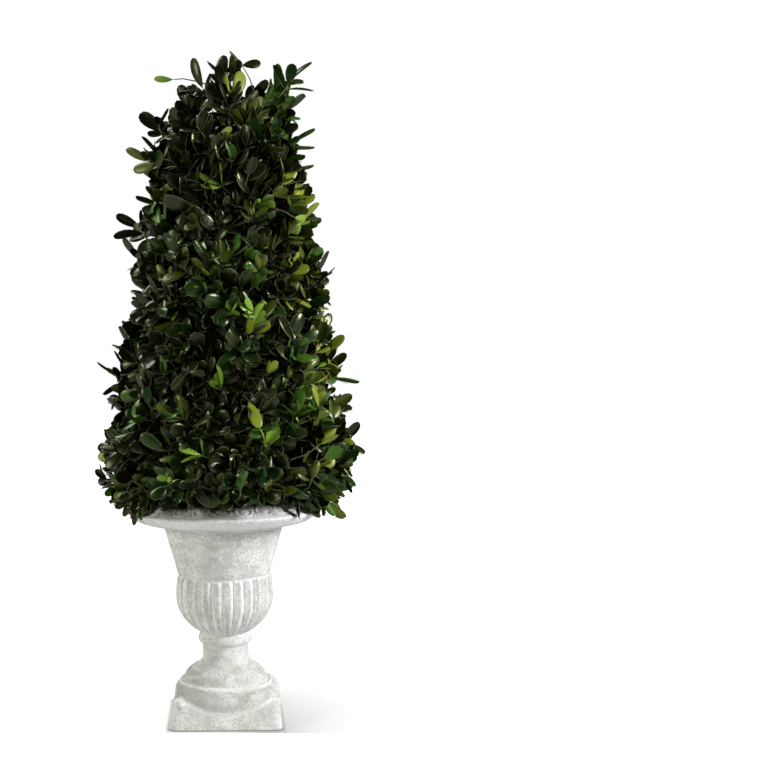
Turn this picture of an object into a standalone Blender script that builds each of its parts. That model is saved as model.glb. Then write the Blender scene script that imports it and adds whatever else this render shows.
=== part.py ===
"""Boxwood clipped to a tall cone, standing in a fluted cement urn on a square foot.

Units are metres and +Z is up. The origin is the centre of the urn's flat underside,
and the front of the square foot faces -Y. Four pieces: the urn with its foot in one
casting, the soil that fills it, the short main stem, and the clipped crown.
"""
import math
import random

import bmesh
import bpy
import numpy as np
from mathutils import Matrix, Vector
from mathutils.bvhtree import BVHTree

MM = 0.001
FIT_GAP = 0.3 * MM

# Urn, in millimetres: heights are above the ground.
FLUTE_COUNT = 28
STEPS_PER_FLUTE = 2
FLUTE_DEPTH = 1.3
PLINTH_HALF_BOTTOM = 45.0
PLINTH_HALF_TOP = 42.1
PLINTH_HEIGHT = 24.0
PLINTH_CORNER_ROUND = 7.0
PLINTH_TOP_ROUND = 5.0
PLINTH_BOTTOM_ROUND = 2.2
FOOT_BURIED_HEIGHT = 10.4
NECK_RADIUS = 19.1
NECK_BOTTOM = 50.0
BEAD_HEIGHT = 66.8
BEAD_TUBE = 5.5
BEAD_RADIUS = 22.7
BOWL_BOTTOM = 72.0
BOWL_WIDEST_HEIGHT = 102.0
BOWL_WIDEST_RADIUS = 40.9
BOWL_DROP = 35.2
BOWL_RISE = 70.0
BOWL_TOP = 119.4
COLLAR_BOTTOM = 121.6
COLLAR_BOTTOM_RADIUS = 39.0
COLLAR_TOP = 156.0
COLLAR_TOP_RADIUS = 48.7
LIP_RADIUS = 81.5
LIP_HEIGHT = 168.8
RIM_TOP = 182.3
RIM_MOUTH_RADIUS = 60.5
WALL = 7.0
CAVITY_FLOOR = 98.0

# Soil: it fills the urn and stays a little under the rim.
SOIL_TOP = 176.0

# Main stem: a flat cut at the soil, a flared foot, and a tip inside the crown.
STEM_FOOT_RADIUS = 10.5
STEM_RADIUS = 6.0
STEM_TIP_RADIUS = 4.2
STEM_FLARE_HEIGHT = 14.0
STEM_TIP = 300.0
STEM_SIDES = 16

# Crown: (height, radius) of the clipped cone, and how the pieces in it are sized.
CROWN_OUTLINE = [
    (186, 84), (200, 96), (222, 98), (264, 90), (306, 84), (348, 77), (390, 71),
    (432, 67), (474, 59), (516, 46), (538, 27), (550, 8),
]
CROWN_LEAN = 4.0
CORE_BOTTOM = 187.0
CORE_TOP = 544.0
CORE_SHARE = 0.78
CORE_SIDES = 20
LEADER_TOP = 548.0
LEADER_RADIUS = 3.0
SPRAY_COUNT = 96
SPRAY_ROOT_RADIUS = 16.0
SPRAY_TIP_SHARE = 0.92
TWIG_ROOT_RADIUS = 1.7
TWIG_TIP_RADIUS = 1.1
LEAF_LENGTH = 33.0
LEAF_WIDTH = 19.0
LEAF_THICKNESS = 0.8
LEAF_WIDEST_SHARE = 0.60
LEAF_ROOT_OFFSET = 0.2
LEAF_TRIES = 6
LEAF_PAIR_STEPS = (4.0, 12.0)
LEAF_SPLAY_DEG = 52.0
LEAD_LEAF_SHARE = 0.85
LOWEST_TWIG = 187.0
URN_CLEARANCE = 1.2
GOLDEN_ANGLE = math.pi * (3.0 - math.sqrt(5.0))
SEED = 27

# Long sprays that stand out of the clipped surface: (azimuth in degrees, tip height,
# reach from the crown's axis). Azimuth 0 is +X, 180 is -X and -90 is the front.
LONG_SPRAYS = [
    (4, 553, 61), (-8, 516, 72), (12, 464, 77), (-6, 416, 80), (2, 387, 91), (9, 290, 110),
    (-10, 265, 106), (3, 228, 119), (-4, 169, 101),
    (176, 531, 60), (188, 506, 81), (182, 469, 84), (174, 427, 89), (184, 406, 92),
    (190, 335, 86), (178, 299, 106), (186, 225, 107), (172, 203, 106), (181, 179, 92),
    (-95, 520, 62), (-70, 440, 80), (-115, 372, 88), (-84, 300, 100), (-60, 240, 108), (-120, 215, 108),
    (82, 528, 60), (110, 455, 80), (64, 380, 88), (98, 310, 98), (122, 235, 110), (70, 210, 108),
    (60, 556, 20),
]


def millimetres(points):
    """The same (radius, height) pairs in metres."""
    return [(radius * MM, height * MM) for radius, height in points]


def elliptic_run(start, end, count):
    """Quarter of an ellipse that leaves start level and arrives at end upright."""
    points = []
    for step in range(count):
        angle = 0.5 * math.pi * step / (count - 1)
        across = math.sin(angle)
        down = 1.0 - math.cos(angle)
        points.append((start[0] + (end[0] - start[0]) * across, start[1] + (end[1] - start[1]) * down))
    return points


def bowl_radius(height):
    """Radius of the fluted bowl: half an ellipse below its widest height, a flatter one above."""
    reach = BOWL_RISE if height > BOWL_WIDEST_HEIGHT else BOWL_DROP
    return BOWL_WIDEST_RADIUS * math.sqrt(1.0 - ((height - BOWL_WIDEST_HEIGHT) / reach) ** 2)


def bowl_points(count):
    """Points down the side of the bowl, closer together where it turns in."""
    points = []
    for step in range(count):
        share = math.sin(0.5 * math.pi * step / (count - 1))
        height = BOWL_TOP + (BOWL_BOTTOM - BOWL_TOP) * share
        points.append((bowl_radius(height), height))
    return points


def bead_points(count):
    """The ring between the bowl and the neck, as an arc of its tube."""
    centre = BEAD_RADIUS - BEAD_TUBE
    points = []
    for step in range(count):
        angle = math.radians(62.0 - 134.0 * step / (count - 1))
        points.append((centre + BEAD_TUBE * math.cos(angle), BEAD_HEIGHT + BEAD_TUBE * math.sin(angle)))
    return points


def urn_profile():
    """The turned outline, from the floor of the hollow, over the rim, down to the foot."""
    inside = [
        (0.0, CAVITY_FLOOR),
        (COLLAR_BOTTOM_RADIUS - 2.0 * WALL, CAVITY_FLOOR),
        (COLLAR_BOTTOM_RADIUS - WALL, COLLAR_BOTTOM),
        (COLLAR_TOP_RADIUS - WALL, COLLAR_TOP),
        (RIM_MOUTH_RADIUS - 2.0, SOIL_TOP),
        (RIM_MOUTH_RADIUS, RIM_TOP),
    ]
    rim = [(64.0, RIM_TOP)]
    rim += elliptic_run((64.5, 181.8), (73.2, 175.2), 3)
    rim += [(73.4, 174.6)]
    rim += elliptic_run((74.6, 174.5), (LIP_RADIUS, LIP_HEIGHT), 4)
    rim += [(81.0, 167.2), (79.6, 166.4), (66.0, 163.6), (52.0, 159.2)]
    collar = [(COLLAR_TOP_RADIUS, COLLAR_TOP), (COLLAR_BOTTOM_RADIUS, COLLAR_BOTTOM), (38.5, 120.6)]
    neck = [(NECK_RADIUS, 61.2), (NECK_RADIUS, NECK_BOTTOM)]
    foot = [(20.2, 47.6), (23.0, 45.3), (27.0, 42.6), (31.0, 38.9), (33.8, 36.0), (34.5, 34.3)]
    drum = [(36.2, 33.8), (38.4, 31.0), (40.7, 26.4), (42.8, 20.8), (44.2, 15.0), (43.4, 12.0)]
    buried = [(41.0, FOOT_BURIED_HEIGHT), (0.0, FOOT_BURIED_HEIGHT)]
    return inside + rim + collar + bowl_points(8) + bead_points(5) + neck + foot + drum + buried


def stem_radius(height):
    """Radius of the main stem: an even taper, with a foot that flares out at the soil."""
    along = (height - SOIL_TOP) / (STEM_TIP - SOIL_TOP)
    taper = STEM_RADIUS + (STEM_TIP_RADIUS - STEM_RADIUS) * along
    flare = max(0.0, 1.0 - (height - SOIL_TOP) / STEM_FLARE_HEIGHT)
    return taper + (STEM_FOOT_RADIUS - STEM_RADIUS) * flare ** 2


def crown_radius(height):
    """Radius of the clipped cone at a height, by straight runs between its outline's points."""
    heights, radii = zip(*CROWN_OUTLINE)
    return float(np.interp(height, heights, radii))


def crown_centre(height):
    """The cone's axis leans very slightly to +X on its way up."""
    share = (height - CORE_BOTTOM) / (LEADER_TOP - CORE_BOTTOM)
    return CROWN_LEAN * max(0.0, min(1.0, share))


def plain_material(name, colour, roughness):
    """A Principled material with one colour."""
    material = bpy.data.materials.new(name)
    material.use_nodes = True
    shader = material.node_tree.nodes["Principled BSDF"]
    shader.inputs["Base Color"].default_value = (*colour, 1.0)
    shader.inputs["Roughness"].default_value = roughness
    shader.inputs["Metallic"].default_value = 0.0
    return material


def add_object(name, mesh, collection):
    """A new object that shows the mesh, in the given collection."""
    thing = bpy.data.objects.new(name, mesh)
    collection.objects.link(thing)
    return thing


def mesh_from_bmesh(name, shape):
    """Writes a bmesh to a new mesh and frees it."""
    mesh = bpy.data.meshes.new(name)
    shape.to_mesh(mesh)
    shape.free()
    return mesh


def turned(name, profile, sides, collection):
    """A body of revolution about Z from (radius, height) points, as a plain mesh object."""
    mesh = bpy.data.meshes.new(name + "_profile")
    points = [(radius, 0.0, height) for radius, height in millimetres(profile)]
    mesh.from_pydata(points, [(i, i + 1) for i in range(len(points) - 1)], [])
    outline = add_object(name + "_profile", mesh, collection)
    screw = outline.modifiers.new("turn", "SCREW")
    screw.steps = sides
    screw.render_steps = sides
    screw.use_merge_vertices = True
    screw.merge_threshold = 0.00001
    return baked(name, outline, collection)


def baked(name, source, collection):
    """Replaces an object by a new one that holds its mesh with the modifiers applied."""
    depsgraph = bpy.context.evaluated_depsgraph_get()
    mesh = bpy.data.meshes.new_from_object(source.evaluated_get(depsgraph))
    mesh.name = name
    result = add_object(name, mesh, collection)
    result.matrix_world = source.matrix_world
    bpy.data.objects.remove(source)
    result.name = name
    return result


def cut_flutes(urn):
    """Presses every second vertical line of the bowl inwards, which leaves the flutes' ridges."""
    mesh = urn.data
    points = np.empty(len(mesh.vertices) * 3)
    mesh.vertices.foreach_get("co", points)
    points = points.reshape(-1, 3)
    radius = np.hypot(points[:, 0], points[:, 1])
    height = points[:, 2]
    azimuth = np.arctan2(points[:, 1], points[:, 0])
    low = BOWL_BOTTOM * MM
    high = BOWL_TOP * MM
    on_bowl = (height > low - 0.5 * MM) & (height < high + 0.1 * MM) & (radius > 15.0 * MM)
    on_bowl &= np.abs(radius - np.array([bowl_radius(h / MM) * MM if low <= h <= high else 0.0 for h in height])) < MM
    fade = np.clip(np.sin(np.pi * np.clip((height - low) / (high - low), 0.0, 1.0)) * 2.2, 0.25, 1.0)
    groove = 0.5 - 0.5 * np.cos(azimuth * FLUTE_COUNT)
    scale = np.where(on_bowl, 1.0 - FLUTE_DEPTH * MM * groove * fade / np.maximum(radius, MM), 1.0)
    points[:, 0] *= scale
    points[:, 1] *= scale
    mesh.vertices.foreach_set("co", points.ravel())
    mesh.update()


def rounded_plinth(collection):
    """The square foot: battered sides, rounded corners, a softly rounded top, a flat underside."""
    shape = bmesh.new()
    bmesh.ops.create_cube(shape, size=2.0)
    for vertex in shape.verts:
        half = PLINTH_HALF_TOP if vertex.co.z > 0.0 else PLINTH_HALF_BOTTOM
        height = PLINTH_HEIGHT if vertex.co.z > 0.0 else 0.0
        vertex.co = Vector((math.copysign(half, vertex.co.x), math.copysign(half, vertex.co.y), height)) * MM
    upright = [edge for edge in shape.edges if abs(edge.verts[0].co.z - edge.verts[1].co.z) > MM]
    bmesh.ops.bevel(shape, geom=upright, offset=PLINTH_CORNER_ROUND * MM, segments=4, profile=0.5, affect="EDGES")
    top = [edge for edge in shape.edges if min(v.co.z for v in edge.verts) > (PLINTH_HEIGHT - 0.1) * MM]
    bmesh.ops.bevel(shape, geom=top, offset=PLINTH_TOP_ROUND * MM, segments=4, profile=0.5, affect="EDGES")
    bottom = [edge for edge in shape.edges if max(v.co.z for v in edge.verts) < 0.1 * MM]
    bmesh.ops.bevel(shape, geom=bottom, offset=PLINTH_BOTTOM_ROUND * MM, segments=2, profile=0.5, affect="EDGES")
    return add_object("plinth", mesh_from_bmesh("plinth", shape), collection)


def build_urn(parts, cutters):
    """The turned body and the square foot, joined to one casting."""
    urn = turned("urn_body", urn_profile(), FLUTE_COUNT * STEPS_PER_FLUTE, parts)
    cut_flutes(urn)
    plinth = rounded_plinth(cutters)
    plinth.hide_render = True
    plinth.display_type = "WIRE"
    union = urn.modifiers.new("join_foot", "BOOLEAN")
    union.operation = "UNION"
    union.solver = "EXACT"
    union.object = plinth
    joined = baked("urn", urn, parts)
    bpy.data.objects.remove(plinth)
    joined.data.materials.clear()
    joined.data.materials.append(plain_material("whitewashed_cement", (0.66, 0.645, 0.61), 0.88))
    joined.data.shade_smooth()
    joined.data.set_sharp_from_angle(angle=math.radians(38.0))
    return joined


def build_soil(parts):
    """The potting soil: the shape of the hollow, a fit gap smaller all round."""
    gap = FIT_GAP / MM
    profile = [
        (0.0, SOIL_TOP),
        (RIM_MOUTH_RADIUS - 2.0 - 2.0 * gap, SOIL_TOP),
        (COLLAR_TOP_RADIUS - WALL - 1.2 * gap, COLLAR_TOP),
        (COLLAR_BOTTOM_RADIUS - WALL - 1.2 * gap, COLLAR_BOTTOM),
        (COLLAR_BOTTOM_RADIUS - 2.0 * WALL - 1.2 * gap, CAVITY_FLOOR + gap),
        (0.0, CAVITY_FLOOR + gap),
    ]
    soil = turned("soil", profile, FLUTE_COUNT, parts)
    soil.data.materials.append(plain_material("dry_soil", (0.09, 0.06, 0.04), 0.95))
    soil.data.shade_smooth()
    soil.data.set_sharp_from_angle(angle=math.radians(30.0))
    return soil


def build_stem(parts):
    """The main stem, cut flat just above the soil."""
    foot = SOIL_TOP + FIT_GAP / MM
    heights = [foot, foot + 4.0, foot + 8.0, foot + STEM_FLARE_HEIGHT, 0.5 * (foot + STEM_TIP), STEM_TIP]
    profile = [(0.0, STEM_TIP)]
    profile += [(stem_radius(height), height) for height in reversed(heights)]
    profile += [(0.0, foot)]
    stem = turned("main_stem", profile, STEM_SIDES, parts)
    stem.data.materials.append(plain_material("boxwood_bark", (0.20, 0.15, 0.10), 0.85))
    stem.data.shade_smooth()
    stem.data.set_sharp_from_angle(angle=math.radians(50.0))
    return stem


def build_core(collection):
    """The dense inside of the clipped cone, open underneath for the main stem."""
    gap = FIT_GAP / MM
    hole_top = STEM_TIP + gap
    hole = [(stem_radius(height) + gap, height) for height in (STEM_TIP, 240.0, CORE_BOTTOM)]
    outside = [(CORE_SHARE * radius, height) for height, radius in CROWN_OUTLINE if CORE_BOTTOM < height < CORE_TOP]
    profile = [(0.0, CORE_TOP)] + list(reversed(outside))
    profile += [(CORE_SHARE * crown_radius(CORE_BOTTOM), CORE_BOTTOM)]
    profile += list(reversed(hole))
    profile += [(hole[0][0], hole_top), (0.0, hole_top)]
    return turned("foliage_core", profile, CORE_SIDES, collection)


def frame_along(direction, face):
    """A rotation whose X runs along direction and whose Z is as near to face as it can be."""
    along = direction.normalized()
    across = face.cross(along).normalized()
    upward = along.cross(across).normalized()
    return Matrix((along, across, upward)).transposed()


def twig_mesh(start, end):
    """A three-sided twig that tapers from start to end."""
    shape = bmesh.new()
    length = (end - start).length
    bmesh.ops.create_cone(
        shape, cap_ends=True, segments=3, radius1=TWIG_ROOT_RADIUS, radius2=TWIG_TIP_RADIUS, depth=length
    )
    turn = Vector((0.0, 0.0, 1.0)).rotation_difference(end - start).to_matrix().to_4x4()
    place = Matrix.Scale(MM, 4) @ Matrix.Translation((start + end) * 0.5) @ turn
    bmesh.ops.transform(shape, matrix=place, verts=shape.verts)
    return mesh_from_bmesh("twig", shape)


def leaf_points(root, direction, face, length, width):
    """The six corners of a leaf: root, tip, two sides at its widest, and the crown of each face."""
    turn = frame_along(direction, face)
    widest = LEAF_WIDEST_SHARE * length
    half_thick = 0.5 * LEAF_THICKNESS
    corners = {
        "root": (0.0, 0.0, 0.0),
        "tip": (length, 0.0, 0.0),
        "left": (widest, 0.5 * width, 0.0),
        "right": (widest, -0.5 * width, 0.0),
        "top": (widest, 0.0, half_thick),
        "bottom": (widest, 0.0, -half_thick),
    }
    return {name: root + turn @ Vector(corner) for name, corner in corners.items()}


def leaf_mesh(corners):
    """Eight faces between the six corners, bent from an octahedron."""
    shape = bmesh.new()
    bmesh.ops.create_uvsphere(shape, u_segments=4, v_segments=2, radius=1.0)
    for vertex in shape.verts:
        values = [vertex.co.x, vertex.co.y, vertex.co.z]
        axis = max(range(3), key=lambda index: abs(values[index]))
        name = (("root", "tip"), ("right", "left"), ("bottom", "top"))[axis][values[axis] > 0.0]
        vertex.co = corners[name] * MM
    return mesh_from_bmesh("leaf", shape)


def clear_of_urn(point):
    """Whether a point keeps its distance from the rim and from the soil inside it."""
    radius = math.hypot(point.x, point.y)
    if radius > LIP_RADIUS + URN_CLEARANCE:
        return True
    limit = float(np.interp(radius, [64.0, LIP_RADIUS], [RIM_TOP, LIP_HEIGHT + 3.0]))
    return point.z > limit + URN_CLEARANCE


def leaf_fits(corners, reach):
    """Whether a leaf stays within its reach of the crown's axis and clear of the urn."""
    samples = []
    for share in (0.0, 0.25, 0.5, 0.75, 1.0):
        for start, end in (("root", "left"), ("left", "tip"), ("root", "right"), ("right", "tip")):
            samples.append(corners[start].lerp(corners[end], share))
    for point in samples:
        offset = math.hypot(point.x - crown_centre(point.z), point.y)
        if offset > reach or not clear_of_urn(point):
            return False
    return True


def leaf_tree(corners):
    """The leaf's eight faces as a tree for overlap tests."""
    names = ("root", "left", "tip", "right", "top", "bottom")
    rim = ((0, 1), (1, 2), (2, 3), (3, 0))
    faces = [(start, end, crown) for start, end in rim for crown in (4, 5)]
    return BVHTree.FromPolygons([corners[name] for name in names], faces)


def leaf_is_free(corners, placed):
    """Whether a leaf misses every leaf placed so far."""
    centre = corners["top"]
    tree = leaf_tree(corners)
    for other_centre, other_tree in placed:
        if (other_centre - centre).length < LEAF_LENGTH and tree.overlap(other_tree):
            return False
    placed.append((centre, tree))
    return True


def add_leaf(pieces, placed, root, direction, face, length, reach):
    """Adds one leaf if it fits and is free, with its root inside the twig."""
    start = root + direction.normalized() * LEAF_ROOT_OFFSET
    corners = leaf_points(start, direction, face, length, length * LEAF_WIDTH / LEAF_LENGTH)
    if not leaf_fits(corners, reach) or not leaf_is_free(corners, placed):
        return False
    add_object("leaf", leaf_mesh(corners), pieces)
    return True


def add_spray(pieces, placed, rng, root, tip, reach, pair_steps, target=None):
    """One twig with opposite pairs of leaves, each pair a quarter turn on, and a leaf at its tip.

    A leaf that leaves its space or meets another is turned a little and tried again. The
    last leaf ends at the target where one is given.
    """
    direction = (tip - root).normalized()
    if not all(clear_of_urn(root.lerp(tip, share)) for share in (0.0, 0.3, 0.6, 0.8, 1.0)):
        return 0
    add_object("twig", twig_mesh(root, tip), pieces)
    side = direction.orthogonal().normalized()
    roll = rng.uniform(0.0, math.pi)
    count = 0
    for number, step in enumerate(pair_steps):
        node = tip - direction * step
        for half_turn in (0.0, math.pi):
            for attempt in range(LEAF_TRIES):
                loose = 0.25 + 0.12 * attempt
                angle = roll + number * 0.5 * math.pi + half_turn + rng.uniform(-loose, loose)
                outward = Matrix.Rotation(angle, 3, direction) @ side
                splay = math.radians(LEAF_SPLAY_DEG + rng.uniform(-16.0, 16.0))
                along = direction * math.cos(splay) + outward * math.sin(splay)
                length = LEAF_LENGTH * rng.uniform(0.78, 1.0)
                if add_leaf(pieces, placed, node, along, direction, length, reach):
                    count += 1
                    break
    last_root = tip - direction
    for attempt in range(LEAF_TRIES):
        along = Matrix.Rotation(rng.uniform(-0.4, 0.4), 3, side) @ direction
        length = LEAF_LENGTH * rng.uniform(0.78, 0.95)
        if target is not None:
            along = target - last_root
            length = along.length
        face = Vector((0.0, 0.0, 1.0)) + side * rng.uniform(-0.8, 0.8)
        if add_leaf(pieces, placed, last_root, along, face, length, reach):
            count += 1
            break
    return count


def even_heights(count):
    """Heights that share the cone's side into bands of equal area."""
    grid = np.linspace(CORE_BOTTOM + 4.0, LEADER_TOP - 4.0, 400)
    area = np.cumsum([crown_radius(height) + 6.0 for height in grid])
    wanted = (np.arange(count) + 0.5) / count * area[-1]
    return np.interp(wanted, area, grid)


def spray_slope(height):
    """How steeply a twig rises: it sags a little at the foot of the cone and stands up at its top."""
    share = (height - CORE_BOTTOM) / (LEADER_TOP - CORE_BOTTOM)
    return math.radians(-8.0 + 44.0 * share + 34.0 * share ** 4)


def spray_ends(azimuth, height, reach):
    """Root and tip of a twig whose tip lies at the given height and distance from the axis."""
    outward = Vector((math.cos(azimuth), math.sin(azimuth), 0.0))
    tip = outward * reach + Vector((crown_centre(height), 0.0, height))
    run = max(6.0, reach - SPRAY_ROOT_RADIUS)
    root_height = height - run * math.tan(spray_slope(height))
    root_height = max(CORE_BOTTOM + 7.0, min(CORE_TOP, root_height))
    inset = min(SPRAY_ROOT_RADIUS, 0.5 * CORE_SHARE * crown_radius(root_height))
    root = outward * inset + Vector((crown_centre(root_height), 0.0, root_height))
    return root, tip


def add_leader(pieces):
    """The crown's own stem: it goes on from the main stem's tip to the top of the cone."""
    start = Vector((0.0, 0.0, STEM_TIP + 8.0))
    end = Vector((crown_centre(LEADER_TOP), 0.0, LEADER_TOP))
    shape = bmesh.new()
    bmesh.ops.create_cone(
        shape, cap_ends=True, segments=6, radius1=LEADER_RADIUS, radius2=TWIG_TIP_RADIUS, depth=(end - start).length
    )
    turn = Vector((0.0, 0.0, 1.0)).rotation_difference(end - start).to_matrix().to_4x4()
    place = Matrix.Scale(MM, 4) @ Matrix.Translation((start + end) * 0.5) @ turn
    bmesh.ops.transform(shape, matrix=place, verts=shape.verts)
    add_object("leader", mesh_from_bmesh("leader", shape), pieces)


def add_sprays(pieces):
    """All the twigs and leaves of the crown: an even set over the cone, then the long ones."""
    rng = random.Random(SEED)
    placed = []
    leaves = 0
    for number, height in enumerate(even_heights(SPRAY_COUNT)):
        azimuth = number * GOLDEN_ANGLE + rng.uniform(-0.12, 0.12)
        height = float(height) + rng.uniform(-3.0, 3.0)
        reach = crown_radius(height) * (SPRAY_TIP_SHARE + rng.uniform(-0.06, 0.04))
        root, tip = spray_ends(azimuth, height, reach)
        leaves += add_spray(pieces, placed, rng, root, tip, crown_radius(height) + 12.0, LEAF_PAIR_STEPS)
    for azimuth_deg, height, reach in LONG_SPRAYS:
        azimuth = math.radians(azimuth_deg)
        slope = spray_slope(height)
        run = LEAD_LEAF_SHARE * LEAF_LENGTH
        tip_height = max(height - run * math.sin(slope), LOWEST_TWIG)
        root, tip = spray_ends(azimuth, tip_height, reach - run * math.cos(slope))
        target = Vector((math.cos(azimuth), math.sin(azimuth), 0.0)) * reach
        target += Vector((crown_centre(height), 0.0, height))
        leaves += add_spray(pieces, placed, rng, root, tip, reach + 3.0, LEAF_PAIR_STEPS[:1], target)
    return leaves


def keep_largest_shell(mesh):
    """Drops loose scraps and sealed hollows, so that one closed skin is left."""
    shape = bmesh.new()
    shape.from_mesh(mesh)
    shape.faces.ensure_lookup_table()
    seen = set()
    shells = []
    for face in shape.faces:
        if face.index in seen:
            continue
        seen.add(face.index)
        shell = [face]
        for member in shell:
            for edge in member.edges:
                for other in edge.link_faces:
                    if other.index not in seen:
                        seen.add(other.index)
                        shell.append(other)
        shells.append(shell)
    shells.sort(key=len)
    extra = [face for shell in shells[:-1] for face in shell]
    bmesh.ops.delete(shape, geom=extra, context="FACES")
    shape.to_mesh(mesh)
    shape.free()
    return len(shells)


def build_foliage(parts, pieces_root):
    """The clipped crown: core, leader, twigs and leaves fused to one solid."""
    pieces = bpy.data.collections.new("crown_pieces")
    pieces_root.children.link(pieces)
    core = build_core(parts)
    add_leader(pieces)
    leaves = add_sprays(pieces)
    union = core.modifiers.new("fuse", "BOOLEAN")
    union.operation = "UNION"
    union.solver = "MANIFOLD"
    union.operand_type = "COLLECTION"
    union.collection = pieces
    foliage = baked("foliage", core, parts)
    for piece in list(pieces.objects):
        bpy.data.objects.remove(piece)
    bpy.data.collections.remove(pieces)
    shells = keep_largest_shell(foliage.data)
    foliage.data.materials.clear()
    foliage.data.materials.append(plain_material("boxwood_leaf", (0.045, 0.075, 0.025), 0.42))
    print("crown:", leaves, "leaves,", shells, "shells,", len(foliage.data.polygons), "faces")
    return foliage


def main():
    for thing in list(bpy.data.objects):
        bpy.data.objects.remove(thing)
    scene_root = bpy.context.scene.collection
    parts = bpy.data.collections.new("potted_boxwood_cone")
    cutters = bpy.data.collections.new("cutters")
    scene_root.children.link(parts)
    scene_root.children.link(cutters)
    build_urn(parts, cutters)
    build_soil(parts)
    build_stem(parts)
    build_foliage(parts, cutters)


main()
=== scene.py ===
# %% [markdown]
# # A boxwood cone in a whitewashed urn
#
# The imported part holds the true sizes: an urn, its soil, a short main stem and a clipped crown.
# This lesson dresses it. Every new shape is a surface that numpy works out as whole arrays, in
# millimetres, and every finish is built from shader nodes. The frame stays where it is, and each
# new piece stands exactly where the piece it replaces stood.

import math

import bpy
import numpy as np
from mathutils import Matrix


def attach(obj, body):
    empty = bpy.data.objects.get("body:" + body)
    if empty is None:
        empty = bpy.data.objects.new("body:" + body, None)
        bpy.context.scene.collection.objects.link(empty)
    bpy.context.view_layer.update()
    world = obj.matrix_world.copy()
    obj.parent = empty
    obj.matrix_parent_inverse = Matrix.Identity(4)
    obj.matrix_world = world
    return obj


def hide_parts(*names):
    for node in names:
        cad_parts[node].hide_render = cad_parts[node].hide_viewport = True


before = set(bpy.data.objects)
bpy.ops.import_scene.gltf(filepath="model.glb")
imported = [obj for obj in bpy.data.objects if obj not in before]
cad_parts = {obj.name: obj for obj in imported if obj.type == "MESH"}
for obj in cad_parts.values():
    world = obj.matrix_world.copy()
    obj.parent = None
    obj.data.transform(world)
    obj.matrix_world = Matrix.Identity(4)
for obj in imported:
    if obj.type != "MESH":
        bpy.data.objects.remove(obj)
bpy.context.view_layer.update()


def add_object(name, data):
    """Puts a camera, a light or a mesh into the scene."""
    made = bpy.data.objects.new(name, data)
    bpy.context.scene.collection.objects.link(made)
    return made


# %% [markdown]
# ## The camera
#
# A product photographer stands about a metre away with a normal lens, a little above the middle of
# the plant, and sees it straight on. The plant stands in the left part of the picture. The camera
# turns past it for a part of that, and a small sideways shift of the lens does the rest, because a
# shift keeps the foot's front edge level.

# %% Place the camera
FOCAL_PIXELS = 1250.0
IMAGE_PIXELS = 768.0
SENSOR_WIDTH = 36.0
LENS_SHIFT = 0.15
CAMERA_DISTANCE = 1.0498
CAMERA_HEIGHT = 0.2952
CAMERA_AZIMUTH = math.radians(0.22)
CAMERA_TURN = math.radians(1.75)
CAMERA_DIP = math.radians(0.89)

camera_data = bpy.data.cameras.new("product_camera")
camera_data.sensor_width = SENSOR_WIDTH
camera_data.lens = FOCAL_PIXELS / IMAGE_PIXELS * SENSOR_WIDTH
camera_data.shift_x = LENS_SHIFT
camera = add_object("product_camera", camera_data)
camera.location.x = CAMERA_DISTANCE * math.sin(CAMERA_AZIMUTH)
camera.location.y = -CAMERA_DISTANCE * math.cos(CAMERA_AZIMUTH)
camera.location.z = CAMERA_HEIGHT
camera.rotation_euler = (0.5 * math.pi - CAMERA_DIP, 0.0, -CAMERA_TURN)
bpy.context.scene.camera = camera
print("lens in mm:", round(camera_data.lens, 2))

# %% [markdown]
# ## Arrays become meshes
#
# Blender can fill a mesh from flat arrays, which is quick even for a million corners. A grid of
# points is numbered row by row, and each quad joins four neighbours. The helpers below hold that
# bookkeeping, so that each later cell is only about its own shape.

# %% Fill a mesh from arrays
MM = 0.001


def add_piece(name, points, corners, sizes, materials, node, slot):
    """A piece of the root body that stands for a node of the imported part.

    It gets points in millimetres, all the faces' corners in one row, and each face's corner count.
    """
    mesh = bpy.data.meshes.new(name)
    mesh.vertices.add(points.size // 3)
    mesh.vertices.foreach_set("co", (points * MM).astype(np.float32).ravel())
    mesh.loops.add(len(corners))
    mesh.loops.foreach_set("vertex_index", corners.astype(np.int32))
    mesh.polygons.add(len(sizes))
    mesh.polygons.foreach_set("loop_start", (np.cumsum(sizes) - sizes).astype(np.int32))
    mesh.update(calc_edges=True)
    mesh.shade_smooth()
    for material in materials:
        mesh.materials.append(material)
    piece = add_object(name, mesh)
    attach(piece, "root")
    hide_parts(node)
    print(name, "has", int(np.sum(sizes - 2)), "triangles")
    return piece


# %% Grids that close round an axis
def grid_faces(rows, columns, ring=False):
    """Corners and counts of quads, right, then up, so that a tube faces outwards.

    A ring's last row joins its first one. Any other grid gets one flat face at each end.
    """
    low = np.arange(rows if ring else rows - 1)[:, None] * columns
    high = (low + columns) % (rows * columns)
    left = np.arange(columns)
    right = (left + 1) % columns
    quads = np.stack([low + left, low + right, high + right, high + left], axis=-1).ravel()
    ends = [] if ring else [left[::-1], (rows - 1) * columns + left]
    sizes = np.concatenate([np.full(quads.size // 4, 4), np.full(len(ends), columns)])
    return np.concatenate([quads, *ends]), sizes


def add_grid(name, points, material, node, slot, ring=False):
    """A piece from a grid of points."""
    return add_piece(name, points, *grid_faces(*points.shape[:2], ring), [material], node, slot)


def unit(vectors):
    """Vectors of length one."""
    return vectors / np.maximum(np.linalg.norm(vectors, axis=-1, keepdims=True), 1e-9)


def grid_normals(points, ring=False):
    """Outward unit normals of a grid: the cross product of the steps around it and up it."""
    around = np.roll(points, -1, axis=1) - np.roll(points, 1, axis=1)
    if ring:
        up = np.roll(points, -1, axis=0) - np.roll(points, 1, axis=0)
    else:
        up = np.gradient(points, axis=0)
    return unit(np.cross(around, up))


# %% Values that change smoothly
NOISE_CELLS = 32


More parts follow.
